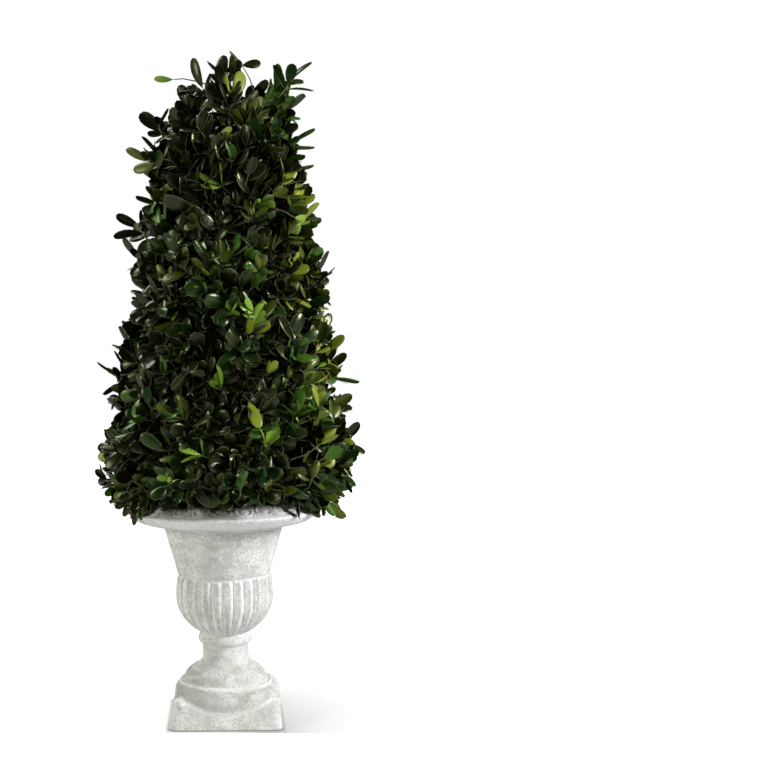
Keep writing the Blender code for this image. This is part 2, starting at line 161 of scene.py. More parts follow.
def value_noise(points, size, seed):
    """Random values on a cubic lattice, blended between its eight corners by a smooth step, -1 to 1."""
    table = np.random.default_rng(seed).uniform(-1.0, 1.0, (NOISE_CELLS,) * 3)
    place = points / size
    cell = np.floor(place).astype(int)
    share = place - cell
    share = share * share * (3.0 - 2.0 * share)
    total = np.zeros(points.shape[:-1])
    for corner in np.ndindex(2, 2, 2):
        weight = np.prod(np.where(np.array(corner) == 1, share, 1.0 - share), axis=-1)
        index = (cell + np.array(corner)) % NOISE_CELLS
        total += weight * table[index[..., 0], index[..., 1], index[..., 2]]
    return total


def smooth_step(value, low, high):
    """Runs from 0 at low to 1 at high, level at both ends."""
    share = np.clip((value - low) / (high - low), 0.0, 1.0)
    return share * share * (3.0 - 2.0 * share)


def near(value, middle, width):
    """A soft peak: 1 at the middle, fading to nothing a few widths away."""
    return np.exp(-((value - middle) / width) ** 2)


# %% [markdown]
# ## Shader nodes in short form
#
# A finish is a small network of nodes. One helper makes a node, sets its properties, fills its
# inputs with plain values or other nodes' outputs, and gives back one of its own outputs. Every
# output knows its tree. Patterns read Object coordinates, so that they sit on the piece like paint.

# %% Short forms for shader nodes
def fill_inputs(node, inputs):
    """Gives each named or numbered input a value or a link."""
    for name, value in inputs.items():
        if isinstance(value, bpy.types.NodeSocket):
            node.id_data.links.new(value, node.inputs[name])
        else:
            node.inputs[name].default_value = value


def add_node(tree, kind, output, inputs, **properties):
    """One output of a new node with these properties and inputs."""
    node = tree.nodes.new("ShaderNode" + kind)
    for name, value in properties.items():
        setattr(node, name, value)
    fill_inputs(node, inputs)
    return node.outputs[output]


def new_material(name):
    """An empty node material, its Principled shader and its Object coordinates."""
    material = bpy.data.materials.new(name)
    material.use_nodes = True
    tree = material.node_tree
    return material, tree.nodes["Principled BSDF"], add_node(tree, "TexCoord", "Object", {})


def noise(place, scale, detail=4.0, roughness=0.55, distortion=0.0):
    """Cloudy noise between 0 and 1; scale is in lumps for each metre."""
    inputs = {"Vector": place, "Scale": scale, "Detail": detail}
    inputs.update({"Roughness": roughness, "Distortion": distortion})
    return add_node(place.id_data, "TexNoise", "Fac", inputs)


def remap(value, low, high, to_low=0.0, to_high=1.0):
    """Stretches a range of values to another one and clips at its ends."""
    inputs = {"Value": value, "From Min": low, "From Max": high, "To Min": to_low, "To Max": to_high}
    return add_node(value.id_data, "MapRange", "Result", inputs)


def combine(operation, first, *others):
    """Arithmetic on an output and further outputs or numbers, one step for each of them."""
    for other in others:
        first = add_node(first.id_data, "Math", "Value", {0: first, 1: other}, operation=operation)
    return first


def times(*values):
    """The product of the values."""
    return combine("MULTIPLY", *values)


def highest(*values):
    """The largest of the values."""
    return combine("MAXIMUM", *values)


def size_of(value):
    """The value without its sign."""
    return combine("ABSOLUTE", value, 0.0)


def blend(share, first, second):
    """A colour between two colours."""
    return add_node(share.id_data, "Mix", 2, {0: share, 6: first, 7: second}, data_type="RGBA")


def bump(height, strength, distance):
    """A bump from a height, with its distance in metres."""
    inputs = {"Height": height, "Strength": strength, "Distance": distance}
    return add_node(height.id_data, "Bump", "Normal", inputs)


def stretch(place, scale):
    """Coordinates times one scale for each axis."""
    return add_node(place.id_data, "Mapping", "Vector", {"Vector": place, "Scale": scale})


def along_axis(place, axis):
    """One of the three coordinates."""
    return add_node(place.id_data, "SeparateXYZ", axis, {"Vector": place})


def grained_material(name, dark, light, grain, levels, roughness, relief, along=1.0):
    """Grains between two colours, drawn out along Z, with a bump that follows them."""
    material, shader, place = new_material(name)
    grains = noise(stretch(place, (1.0, 1.0, along)), *grain)
    colour = blend(remap(grains, *levels), dark, light)
    fill_inputs(shader, {"Base Color": colour, "Roughness": roughness, "Normal": bump(grains, *relief)})
    return material


# %% [markdown]
# ## Whitewashed cement
#
# The urn is cast in grey cement, then brushed with thin white paint and wiped. The paint stays in
# every fold, and the ground shows through on what stands out: neutral grey, with soft olive stains
# and fine worm-like marks of the brush. Each vertex of the urn carries one value for its finish:
# above zero it is the share of white, mostly paint and in places painted light; below zero it is
# wear and grime, and in places painted shade. The shader adds the stains, the marks, white specks
# and small air holes.

# %% The cement finish
GROUND_GREY = (0.590, 0.590, 0.565, 1.0)
GROUND_OLIVE = (0.492, 0.486, 0.388, 1.0)
GROUND_LILAC = (0.600, 0.582, 0.630, 1.0)
WASH_AND_LIGHT_WHITE = (0.930, 0.930, 0.925, 1.0)
PIT_AND_SHADE_GREY = (0.300, 0.295, 0.265, 1.0)
STROKE_STRETCH = (1.0, 1.0, 1.7)


def worm_marks(place, scale, half_width):
    """Thin winding strokes that lie flat: where a cloudy noise crosses its middle value."""
    wave = noise(stretch(place, STROKE_STRETCH), scale, 2.0, 0.5, 0.8)
    return remap(size_of(combine("SUBTRACT", wave, 0.5)), half_width, 0.5 * half_width)


def cement_ground(place, mottle):
    """The bare cement: grey with olive stains and cooler patches, and darker grains."""
    stains = remap(noise(place, 21.0, 3.0, 0.5), 0.45, 0.62)
    cool = remap(noise(place, 43.0, 2.0, 0.5), 0.55, 0.70, 0.0, 0.7)
    ground = blend(cool, blend(stains, GROUND_GREY, GROUND_OLIVE), GROUND_LILAC)
    return blend(remap(mottle, 0.56, 0.34, 0.0, 0.30), ground, PIT_AND_SHADE_GREY)


def collar_flecks(place):
    """White flecks between the collar's two ends, weaker at its right."""
    height = along_axis(place, "Z")
    left_side = remap(along_axis(place, "X"), 0.065, 0.015, 0.45, 1.0)
    collar = times(remap(height, 0.120, 0.126), remap(height, 0.165, 0.157), left_side)
    return times(remap(noise(place, 400.0, 3.0), 0.555, 0.63, 0.0, 0.9), collar)


def brush_marks(place):
    """White left by the brush: two sizes of strokes in patches, haze, specks and flecks."""
    fine = times(worm_marks(place, 290.0, 0.090), 0.70)
    broad = times(worm_marks(place, 165.0, 0.060), 0.90)
    brushed_and_lit = remap(noise(place, 80.0, 4.0, 0.6), 0.38, 0.60, 0.20, 1.0)
    haze = remap(noise(place, 60.0, 5.0, 0.6), 0.44, 0.70, 0.0, 0.25)
    specks = remap(noise(place, 560.0, 2.0), 0.60, 0.65, 0.0, 0.85)
    return highest(times(highest(fine, broad), brushed_and_lit), haze, specks, collar_flecks(place))


def cement_material():
    """Grey cement, olive stains, wiped white paint, brush marks, specks, pits, and painted light and shade.
    """
    material, shader, place = new_material("whitewashed_cement")
    mottle = noise(place, 430.0, 4.0, 0.6)
    marks = brush_marks(place)
    wash_light_and_shade = add_node(material.node_tree, "Attribute", "Fac", {}, attribute_name="wash_light_and_shade")
    # Above zero the vertices' value whitens: paint in folds, and in places painted light.
    fold_paint_and_painted_light = times(highest(wash_light_and_shade, 0.0), remap(mottle, 0.32, 0.56, 0.45, 1.0))
    white = highest(marks, fold_paint_and_painted_light)
    painted = blend(white, cement_ground(place, mottle), WASH_AND_LIGHT_WHITE)
    # Below zero it darkens towards grey: grime, and in places painted shade.
    dirt_and_shade = highest(times(wash_light_and_shade, -0.75), 0.0)
    air_holes = add_node(place.id_data, "TexVoronoi", "Distance", {"Vector": place, "Scale": 330.0})
    pit = times(remap(air_holes, 0.18, 0.08), remap(noise(place, 150.0, 1.0), 0.56, 0.62))
    grain = combine("SUBTRACT", combine("ADD", mottle, marks), pit)
    fill_inputs(shader, {
        "Base Color": blend(times(pit, 0.5), blend(dirt_and_shade, painted, PIT_AND_SHADE_GREY), PIT_AND_SHADE_GREY),
        "Roughness": remap(white, 0.0, 1.0, 0.95, 0.82),
        "Normal": bump(grain, 0.6, 0.0004),
    })
    return material


cement = cement_material()
print("cement finish:", len(cement.node_tree.nodes), "nodes")

# %% [markdown]
# ## The urn's outline
#
# Such an urn is cast in a mould that was once turned, so its body is a profile carried round an
# axis: foot, neck, bead, bowl and collar. The profile is a short list of stretches. Round ones are
# arcs and half ellipses, and the freer ones are smooth curves through a few points.

# %% Curves for a profile
def straight(start, end, count):
    """Evenly spaced points on a line, without its end."""
    share = np.arange(count)[:, None] / count
    return np.array(start) + (np.array(end) - np.array(start)) * share


def arc(centre, reach, start_deg, end_deg, count):
    """Points on an ellipse about a centre, from one angle to another, without the last."""
    angle = np.radians(start_deg + (end_deg - start_deg) * np.arange(count) / count)
    return np.array(centre) + np.array(reach) * np.stack([np.cos(angle), np.sin(angle)], axis=-1)


def smooth_run(points, count):
    """A curve through the points, a cubic between each two whose slopes follow their neighbours."""
    points = np.array(points, float)
    along = np.concatenate([[0.0], np.cumsum(np.linalg.norm(np.diff(points, axis=0), axis=1))])
    slopes = np.gradient(points, along, axis=0)
    wanted = along[-1] * np.arange(count) / count
    left = np.clip(np.searchsorted(along, wanted, side="right") - 1, 0, len(along) - 2)
    span = (along[left + 1] - along[left])[:, None]
    share = (wanted - along[left])[:, None] / span
    start_weight = 2.0 * share ** 3 - 3.0 * share ** 2 + 1.0
    bend_out = share ** 3 - 2.0 * share ** 2 + share
    bend_in = share ** 3 - share ** 2
    ends = start_weight * points[left] + (1.0 - start_weight) * points[left + 1]
    return ends + span * (bend_out * slopes[left] + bend_in * slopes[left + 1])


def full_turn(steps):
    """Evenly spaced angles once round."""
    return np.arange(steps) * 2.0 * np.pi / steps


def revolve(profile, azimuth):
    """The profile carried round the Z axis: one row for each of its points."""
    radius, height = profile.T[:, :, None]
    height = np.broadcast_to(height, (len(profile), len(azimuth)))
    return np.stack([radius * np.cos(azimuth), radius * np.sin(azimuth), height], axis=-1)


# %% The body's profile, from the foot up
DRUM = [(40.8, 10.4), (42.4, 13.0), (42.9, 17.0), (42.7, 21.6), (41.7, 26.0), (40.1, 29.2), (37.6, 31.6)]
FOOT_CREASE = (34.9, 31.0)
COVE = [(34.6, 33.2), (33.9, 36.4), (31.6, 39.4), (27.2, 42.8), (23.0, 45.5), (20.2, 48.0)]
NECK = [(19.1, 51.2), (19.1, 61.2)]
BEAD_CENTRE = (17.2, 66.8)
BEAD_REACH = (5.5, 5.5)
BOWL_RADIUS = 40.9
BOWL_WIDEST = 102.0
BOWL_DROP = 35.2
BOWL_RISE = 70.0
BOWL_BOTTOM = 72.0
BOWL_TOP = 119.4
COLLAR_FOLD = [(38.0, 120.3), (38.5, 120.8), (39.0, 121.2)]
COLLAR_START = (39.2, 121.7)
COLLAR_END = (50.1, 161.0)


def bowl_stretch(steps=58):
    """Half an ellipse below the widest height and a flatter one above it."""
    height = BOWL_TOP + (BOWL_BOTTOM - BOWL_TOP) * np.sin(0.5 * np.pi * np.arange(steps, -1, -1) / steps)
    reach = np.where(height > BOWL_WIDEST, BOWL_RISE, BOWL_DROP)
    radius = BOWL_RADIUS * np.sqrt(1.0 - ((height - BOWL_WIDEST) / reach) ** 2)
    return np.stack([radius, height], axis=-1)


def body_profile():
    """Radius and height of each row, from inside the foot block to inside the rim."""
    return np.concatenate([
        smooth_run(DRUM, 22),
        straight(DRUM[-1], FOOT_CREASE, 4),
        smooth_run([FOOT_CREASE, *COVE, NECK[0]], 24),
        straight(*NECK, 8),
        arc(BEAD_CENTRE, BEAD_REACH, -72.0, 62.0, 18),
        bowl_stretch(),
        COLLAR_FOLD,
        straight(COLLAR_START, COLLAR_END, 24),
        [COLLAR_END],
    ])


# %% [markdown]
# ## Round ribs on the bowl
#
# Twenty-eight ribs stand side by side round the bowl. Across, each is half an ellipse, so two
# neighbours meet in a sharp narrow groove. At its top the rib closes in a round end just under the
# fold of the collar. The ribs could be bump only, but their grooves throw real shadows, so they are
# moved points.

# %% Ribs
RIB_COUNT = 28
RIB_DEPTH = 1.7
RIB_CAP_START = 114.0
GROOVE_AZIMUTH = math.radians(-92.7)
STEPS_PER_RIB = 20


def rib_place(azimuth):
    """Where a point lies across its rib: -1 and 1 are the grooves at its two sides."""
    return ((azimuth - GROOVE_AZIMUTH) / (2.0 * np.pi / RIB_COUNT)) % 1.0 * 2.0 - 1.0


def rib_share(across, height):
    """1 on a rib's crest and 0 in a groove: half an ellipse across, closed by a round end."""
    rise = np.clip((height - RIB_CAP_START) / (BOWL_TOP - RIB_CAP_START), 0.0, 1.0)
    half = np.sqrt(np.maximum(1.0 - rise ** 2, 1e-6))
    return np.sqrt(np.clip(1.0 - (across / half) ** 2, 0.0, 1.0))


# %% Uneven casting and its paint
LEAN_START = 45.0
BOWL_LEAN = 0.017
PAINTED_LIGHT_SIDE = 0.20
STAINED_SIDE = 0.60
STAIN_HEIGHT = 36.0


def cast_surface(points, relief=0.0, amount=1.0, ring=False):
    """Moves points out by their relief and by three sizes of noise, as a worn mould leaves them."""
    normals = grid_normals(points, ring)
    points = points + normals * np.asarray(relief)[..., None]
    lumps = 0.22 * value_noise(points, 17.0, 3) + 0.10 * value_noise(points, 5.0, 4)
    grain = 0.075 * value_noise(points, 2.1, 5) + 0.05 * value_noise(points, 1.1, 6)
    return points + normals * (amount * (lumps + grain))[..., None]


def lean_bowl(points, shift=1.0):
    """Turns what stands above the neck a little towards -X, as the cast is not quite true."""
    above = np.maximum(points[..., 2] - LEAN_START, 0.0)
    across = points[..., 0] * smooth_step(points[..., 2], LEAN_START, BOWL_BOTTOM)
    return points + BOWL_LEAN * np.stack([-shift * above, np.zeros_like(above), across], axis=-1)


def add_casting(name, points, wash_light_and_shade, ring=False):
    """A cement piece; its vertices carry paint, grime and painted shade, and painted light at front and
    right.
    """
    x, y, z = np.moveaxis(points, -1, 0)
    radius = np.maximum(np.hypot(x, y), 1.0)
    # Painted light: more white towards the front and right, where the key light falls.
    brushed_and_lit = smooth_step((0.85 * x - 0.53 * y) / radius, -0.3, 1.0)
    patchy = smooth_step(value_noise(points, 8.0, 9), -0.8, 0.6)
    stained = smooth_step(-x / radius, 0.05, 0.85)
    low = near(z, STAIN_HEIGHT, 20.0) * smooth_step(value_noise(points, 12.0, 15), -0.9, 0.2)
    wash_light_and_shade = wash_light_and_shade + PAINTED_LIGHT_SIDE * brushed_and_lit * patchy - STAINED_SIDE * stained * low
    piece = add_grid(name, points, cement, "urn", "cement", ring)
    values = piece.data.attributes.new("wash_light_and_shade", "FLOAT", "POINT")
    values.data.foreach_set("value", np.clip(wash_light_and_shade, -1.0, 1.0).astype(np.float32).ravel())


# %% Size of the square foot, which the body's paint needs too
PLINTH_HALF_BOTTOM = 46.3
PLINTH_HALF_TOP = 41.8
PLINTH_HEIGHT = 24.0


def plinth_half(height):
    """Half the width of the square foot: its sides lean in on their way up."""
    return PLINTH_HALF_BOTTOM + (PLINTH_HALF_TOP - PLINTH_HALF_BOTTOM) * height / PLINTH_HEIGHT


# %% The turned body of the urn
# Height, width and amount of the paint that stays in each of the body's folds
PAINTED_FOLDS = [
    (BOWL_TOP + 0.6, 1.1, 1.0), (BOWL_BOTTOM, 0.9, 0.9), (61.3, 0.8, 0.8), (FOOT_CREASE[1], 1.0, 1.4),
]


def body_wash_and_shade(points, height, across, ribbed):
    """Paint in grooves and folds, less on the sunny side as painted shade, grime on crests, dark bands low
    down.
    """
    x, y = np.moveaxis(points[..., :2], -1, 0)
    sunny = smooth_step(x / np.hypot(x, y), 0.2, 0.9)
    blotches = value_noise(points * [1.0, 1.0, 0.4], 3.6, 7)
    in_groove = smooth_step(np.abs(across + 0.06), 0.30, 0.66) * (0.85 + 0.75 * blotches)
    worn_crest = 0.34 * (1.0 - smooth_step(np.abs(across - 0.12), 0.10, 0.45))
    # Painted shade towards +X, where the key light falls: less white in grooves and on the collar, darker
    # ribs.
    on_ribs = in_groove * (1.0 - 0.55 * sunny) - worn_crest - 0.25 * sunny - 0.03
    wash_light_and_shade = np.where(ribbed, on_ribs, 0.10 * near(height, 142.0, 20.0) * (1.0 - sunny))
    streaks = smooth_step(value_noise(points * [0.3, 0.3, 1.5], 4.0, 16), 0.05, 0.6)
    wash_light_and_shade = wash_light_and_shade + 0.45 * streaks * near(height, 40.0, 17.0)
    broken = 0.75 + 0.55 * value_noise(points, 5.0, 10)
    wash_light_and_shade = wash_light_and_shade + broken * sum(amount * near(height, *fold) for *fold, amount in PAINTED_FOLDS)
    foot_gap = np.maximum(np.abs(x), np.abs(y)) - plinth_half(height)
    wash_light_and_shade = wash_light_and_shade + 0.6 * near(foot_gap, 0.0, 0.8) * (height < PLINTH_HEIGHT + 1.5)
    # Painted shade on the drum away from +X, and a darker band round the cove.
    return wash_light_and_shade - 0.60 * near(height, 24.0, 7.0) * (1.0 - sunny) - 0.30 * near(height, 41.0, 6.0)


def build_body():
    """Foot, neck, bead, ribbed bowl and collar as one closed grid of rows round the axis."""
    azimuth = full_turn(RIB_COUNT * STEPS_PER_RIB)
    points = revolve(body_profile(), azimuth)
    height = points[..., 2]
    across = rib_place(azimuth)
    ribbed = (height > BOWL_BOTTOM - 0.01) & (height < BOWL_TOP + 0.01)
    depth = RIB_DEPTH * (0.55 + 0.45 * smooth_step(height, BOWL_BOTTOM, BOWL_BOTTOM + 14.0))
    sunk = np.where(ribbed, depth * (rib_share(across, height) - 1.0), 0.0)
    points[..., 2] += 0.6 * value_noise(points, 15.0, 14) * smooth_step(height, 26.0, 34.0)
    points = cast_surface(points, sunk)
    add_casting("urn_body", lean_bowl(points), body_wash_and_shade(points, height, across, ribbed))


build_body()

# %% [markdown]
# ## The rim with its egg-and-dart
#
# The rim is a ring of its own: a closed loop carried round the axis. Its upper slope has the old
# egg-and-dart ornament, twenty-six eggs, each in a round frame, with a pointed dart between two
# eggs. The ornament is a height that depends on the place along the rim and down the slope.

# %% The rim's loop
RIM_TOP = 182.3
RIM_ROOT = [(46.0, 158.6), (45.5, 160.0)]
LIP_UNDER = [(62.0, 163.2), (69.0, 164.7), (73.5, 166.5), (77.0, 168.9), (79.7, 171.2), (81.1, 172.8)]
LIP_START = (74.3, 172.8)
LIP_REACH = (6.8, 2.6)
RIM_SLOPE = [(77.3, 175.2), (75.2, 175.9), (72.5, 177.3), (69.5, 179.5), (66.8, 181.3), (64.0, 182.1)]
RIM_INSIDE = [(64.0, 182.05), (63.2, RIM_TOP), (61.4, 182.2), (60.5, 181.2)]


def rim_profile():
    """The ring's section, starting under the bowl's collar and going out, up, over and down."""
    return np.concatenate([
        straight(RIM_ROOT[0], LIP_UNDER[0], 10),
        smooth_run(LIP_UNDER, 16),
        arc(LIP_START, LIP_REACH, 0.0, 64.0, 12),
        smooth_run(RIM_SLOPE, 38),
        smooth_run(RIM_INSIDE, 7),
        straight(RIM_INSIDE[-1], RIM_ROOT[1], 8),
    ])


# %% The ornament's height
EGG_COUNT = 26
EGG_STEPS = 32
EGG_AZIMUTH = math.radians(-91.4)
EGG_CIRCLE = 69.5
EGG_PITCH = 2.0 * np.pi / EGG_COUNT
EGG_MIDDLE = 6.9
EGG_HALVES = (3.5, 3.9)
FRAME_HALVES = (6.6, 6.2)
SLOPE_RADII = (64.4, 75.4)
SLOPE_FLOOR = 174.0


def egg_and_dart(azimuth, profile):
    """Relief, paint and painted shade of the ornament: a dome, a round frame and a dart, each by its
    distance.
    """
    radius, height = profile.T
    on_slope = (radius > SLOPE_RADII[0]) & (radius < SLOPE_RADII[1]) & (height > SLOPE_FLOOR)
    step = np.linalg.norm(np.diff(profile, axis=0, prepend=profile[:1]), axis=1)
    along = np.cumsum(np.where(on_slope, step, 0.0))[:, None]
    across = (((azimuth - EGG_AZIMUTH) / EGG_PITCH + 0.5) % 1.0 - 0.5) * EGG_PITCH * EGG_CIRCLE
    from_egg, from_frame = [
        np.hypot(across / wide, (along - EGG_MIDDLE) / tall) for wide, tall in (EGG_HALVES, FRAME_HALVES)
    ]
    dome = 1.1 * np.sqrt(np.clip(1.0 - from_egg ** 2, 0.0, 1.0))
    round_frame = 0.85 * near(from_frame, 1.0, 0.11)
    from_dart = 0.5 * EGG_PITCH * EGG_CIRCLE - np.abs(across)
    stalk = 0.8 * near(from_dart, 0.0, 0.5) * smooth_step(along, 9.0, 10.5)
    arms = 0.6 * near(from_dart, 1.9 - 0.5 * along, 0.5) * (along < 3.8)
    inside = smooth_step(along, 0.0, 0.6) * (1.0 - smooth_step(along, 11.4, 12.8)) * on_slope[:, None]
    raised = np.maximum.reduce(np.broadcast_arrays(dome, round_frame, stalk, arms))
    # The sunk ground is white low in the crease and darker above it between the eggs: grime and painted
    # shade.
    ground_paint_dirt_and_shade = 0.42 - 0.65 * smooth_step(along, 2.0, 4.5)
    paint = np.where(raised > 0.40, 0.9 * near(from_egg, 1.0, 0.30) + round_frame + stalk + 0.3, ground_paint_dirt_and_shade)
    return (raised - 0.60 * smooth_step(along, 0.5, 3.0)) * inside, paint * inside


# %% Build the rim
LIP_CREASE = 175.6


def build_rim():
    """The closed ring with its relief, painted on the lip and in its crease, with painted shade underneath.
    """
    profile = rim_profile()
    azimuth = full_turn(EGG_COUNT * EGG_STEPS)
    relief, paint = egg_and_dart(azimuth, profile)
    points = cast_surface(revolve(profile, azimuth), relief, ring=True)
    x, y, height = np.moveaxis(points, -1, 0)
    radius = np.hypot(x, y)
    broken = 0.65 + 0.60 * value_noise(points, 6.0, 13)
    wash_light_and_shade = broken * (paint + 0.9 * near(height, LIP_CREASE, 0.9) * (radius > 72.5))
    # Painted shade: the lip gets half the white towards -X, away from the key light, and the rim's underside
    # is darker.
    lip = 1.7 * near(radius, 77.0, 7.0) * (height < LIP_CREASE) * (1.0 - 0.5 * smooth_step(-x, 15.0, 60.0))
    wash_light_and_shade = wash_light_and_shade + (0.6 + 0.4 * broken) * lip - 0.25 * near(radius, 52.0, 3.0) * (height < 164.0)
    add_casting("urn_rim", lean_bowl(points, 0.3), wash_light_and_shade, True)


build_rim()

# %% [markdown]
# ## The square foot
#
# The foot is a block whose corners and edges are softly rounded. Its outline at any height is a
# square path pushed outwards by the corner's radius: the path's own points times one length, plus
# its outward directions times another. That makes the whole block one grid too.

# %% The square path
SIDE_STEPS = 44
CORNER_STEPS = 10


def square_path():
    """Points of a unit square path and its outward directions, which turn only at the corners."""
    run = np.linspace(-1.0, 1.0, SIDE_STEPS)
    turn = np.linspace(0.0, 0.5 * np.pi, CORNER_STEPS + 2)[1:-1]
    path = np.concatenate([np.stack([np.ones(SIDE_STEPS), run], axis=-1), np.ones((CORNER_STEPS, 2))])
    rounding = np.stack([np.cos(turn), np.sin(turn)], axis=-1)
    outward = np.concatenate([np.tile([1.0, 0.0], (SIDE_STEPS, 1)), rounding])
    turns = [np.linalg.matrix_power([[0, 1], [-1, 0]], number) for number in range(4)]
    return [np.concatenate([part @ matrix for matrix in turns]) for part in (path, outward)]


# %% Build the square foot
PLINTH_CORNER = 7.0
PLINTH_TOP_ROUND = 6.5
PLINTH_BOTTOM_ROUND = 0.7
PLINTH_LEAN = 2.2
PLINTH_STRETCH = 1.04
FOLD_LOW = 12.0
FOLD_RISE = 11.0
FOLD_HALF = 37.0
FOLD_DEPTH = 1.0
DRUM_SLOPE = 5.0


def plinth_profile():
    """Half width and height of each row, from the flat underside up to the top."""
    half = PLINTH_HALF_BOTTOM - 0.1
    low = PLINTH_BOTTOM_ROUND
    high = PLINTH_HEIGHT - PLINTH_TOP_ROUND
    top = arc((plinth_half(high) - PLINTH_TOP_ROUND, high), (PLINTH_TOP_ROUND,) * 2, 4.0, 90.0, 12)
    return np.concatenate([
        [(30.0, 0.0), (38.0, 0.0)],
        arc((half - low, low), (low, low), -90.0, -4.0, 7),
        straight((half, low), (plinth_half(high), high), 24),
        top,
        straight((top[-1][0], PLINTH_HEIGHT), (30.0, PLINTH_HEIGHT), 8),
    ])


def plinth_block():
    """The plain block's points: wider along Y at the bottom, and leaning a little to +X."""
    path, outward = square_path()
    half, height = plinth_profile().T[:, :, None, None]
    corner = np.minimum(PLINTH_CORNER, half * 0.2)
    flat = (half - corner) * path + corner * outward
    share = height[..., 0] / PLINTH_HEIGHT
    flat[..., 0] += PLINTH_LEAN * (share - 0.05)
    flat[..., 1] *= PLINTH_STRETCH + (1.0 - PLINTH_STRETCH) * share
    return np.concatenate([flat, np.broadcast_to(height, flat.shape[:2] + (1,))], axis=-1)


def raise_to_drum(points):
    """How far the block's top rises towards the round drum: only along the two diagonals."""
    x, y, z = np.moveaxis(points, -1, 0)
    sides = np.sort(np.abs(points[..., :2]), axis=-1)
    cornered = smooth_step(sides[..., 0] / np.maximum(sides[..., 1], 1.0), 0.15, 0.60)
    from_drum = smooth_step(np.hypot(x, y), 42.0, 55.0)
    return DRUM_SLOPE * cornered * (1.0 - from_drum) * smooth_step(z, 15.0, 23.0)


def build_plinth():
    """The block with a fold, a parabola along each side, where the round drum runs into it."""
    points = plinth_block()
    lifted = cast_surface(points, amount=1.3)
    points = points + (lifted - points) * smooth_step(points[..., 2:], 0.2, 2.5)
    along_side = np.minimum(np.abs(points[..., 0]), np.abs(points[..., 1]))
    from_fold = points[..., 2] - (FOLD_LOW + FOLD_RISE * (along_side / FOLD_HALF) ** 2)
    worn_away = smooth_step(value_noise(points, 15.0, 8), -1.3, -0.1)
    swell = smooth_step(from_fold, -0.8, 0.8) * (1.0 - smooth_step(points[..., 2], 15.0, 24.0))
    points = points + grid_normals(points) * (FOLD_DEPTH * swell * worn_away)[..., None]
    points[..., 2] += raise_to_drum(points)
    height = points[..., 2]
    # Painted light: whiter towards +X, where the key light falls. The fold's white is paint, brightened as a
    # painted highlight.
    sunny = smooth_step(points[..., 0], -15.0, 35.0)
    wash_light_and_shade = 2.6 * near(from_fold, 0.0, 1.0) * (height > 9.0) * worn_away - 0.08 + 0.45 * sunny
    # Painted shade under the drum: darker above the fold, less so towards +X.
    wash_light_and_shade = wash_light_and_shade - 0.75 * smooth_step(from_fold, 0.8, 3.0) * (1.0 - 0.6 * sunny)
    # Painted contact shadow: the block's lowest millimetre and a half is dark.
    add_casting("urn_foot_block", points, wash_light_and_shade - 1.4 * (1.0 - smooth_step(height, 0.6, 1.5)))


build_plinth()

# %% [markdown]
# ## The soil
#
# Dry potting soil fills the urn to just under its mouth. Hardly any of it shows, but from above a
# flat disc would look wrong, so its top has crumbs: two sizes of noise moved upwards.

# %% Build the soil
SOIL_TOP = 176.0
SOIL_WALL = [(24.6, 98.3), (31.6, 121.6), (41.3, 156.0), (57.4, SOIL_TOP - 0.8)]
SOIL_COLOURS = ((0.030, 0.020, 0.013, 1.0), (0.150, 0.105, 0.065, 1.0))
SOIL_LOOK = ((420.0, 6.0, 0.7), (0.35, 0.70), 0.95, (0.8, 0.001))
SOIL_WALL_ROWS = 12
SOIL_STEPS = 160


def build_soil():
    """A closed plug: up along the urn's wall, then in over the crumbly top."""
    top = straight((57.0, SOIL_TOP), (4.0, SOIL_TOP), 44)
    profile = np.concatenate([smooth_run(SOIL_WALL, SOIL_WALL_ROWS), SOIL_WALL[-1:], top])
    points = revolve(profile, full_turn(SOIL_STEPS))
    crumbs = 0.9 * value_noise(points, 6.0, 11) + 0.6 * value_noise(points, 2.6, 12) - 0.3
    points[..., 2] += crumbs * (np.arange(len(profile)) > SOIL_WALL_ROWS + 2)[:, None]
    soil = grained_material("dry_soil", *SOIL_COLOURS, *SOIL_LOOK)
    add_grid("soil_plug", points, soil, "soil", "soil")


build_soil()

# %% [markdown]
# ## Bark
#
# Boxwood bark is thin and grey-brown, and cracks along the stem. The furrows are noise that is
# stretched along the stem, moved into the mesh, and the same stretch in the shader gives them their
# colour. Young twigs are smoother and greener.

# %% Bark and twig finishes
OLD_COLOURS = ((0.070, 0.050, 0.034, 1.0), (0.240, 0.190, 0.130, 1.0))
YOUNG_COLOURS = ((0.045, 0.045, 0.022, 1.0), (0.150, 0.150, 0.075, 1.0))
BARK_LOOK = ((480.0, 5.0, 0.65), (0.36, 0.66), 0.8, (0.5, 0.0006))

old_bark = grained_material("stem_bark", *OLD_COLOURS, *BARK_LOOK, 0.22)
young_bark = grained_material("twig_bark", *YOUNG_COLOURS, *BARK_LOOK, 0.6)
print("bark finish:", len(old_bark.node_tree.nodes), "nodes")

# %% Build the main stem
STEM_FOOT = 176.3
STEM_TIP = 300.0
STEM_FLARE = 14.0
STEM_RADIUS = 6.0
STEM_TAPER = 1.8
FLARE_REACH = 4.5
BARK_DEPTH = 0.35
STEM_STEPS = 72


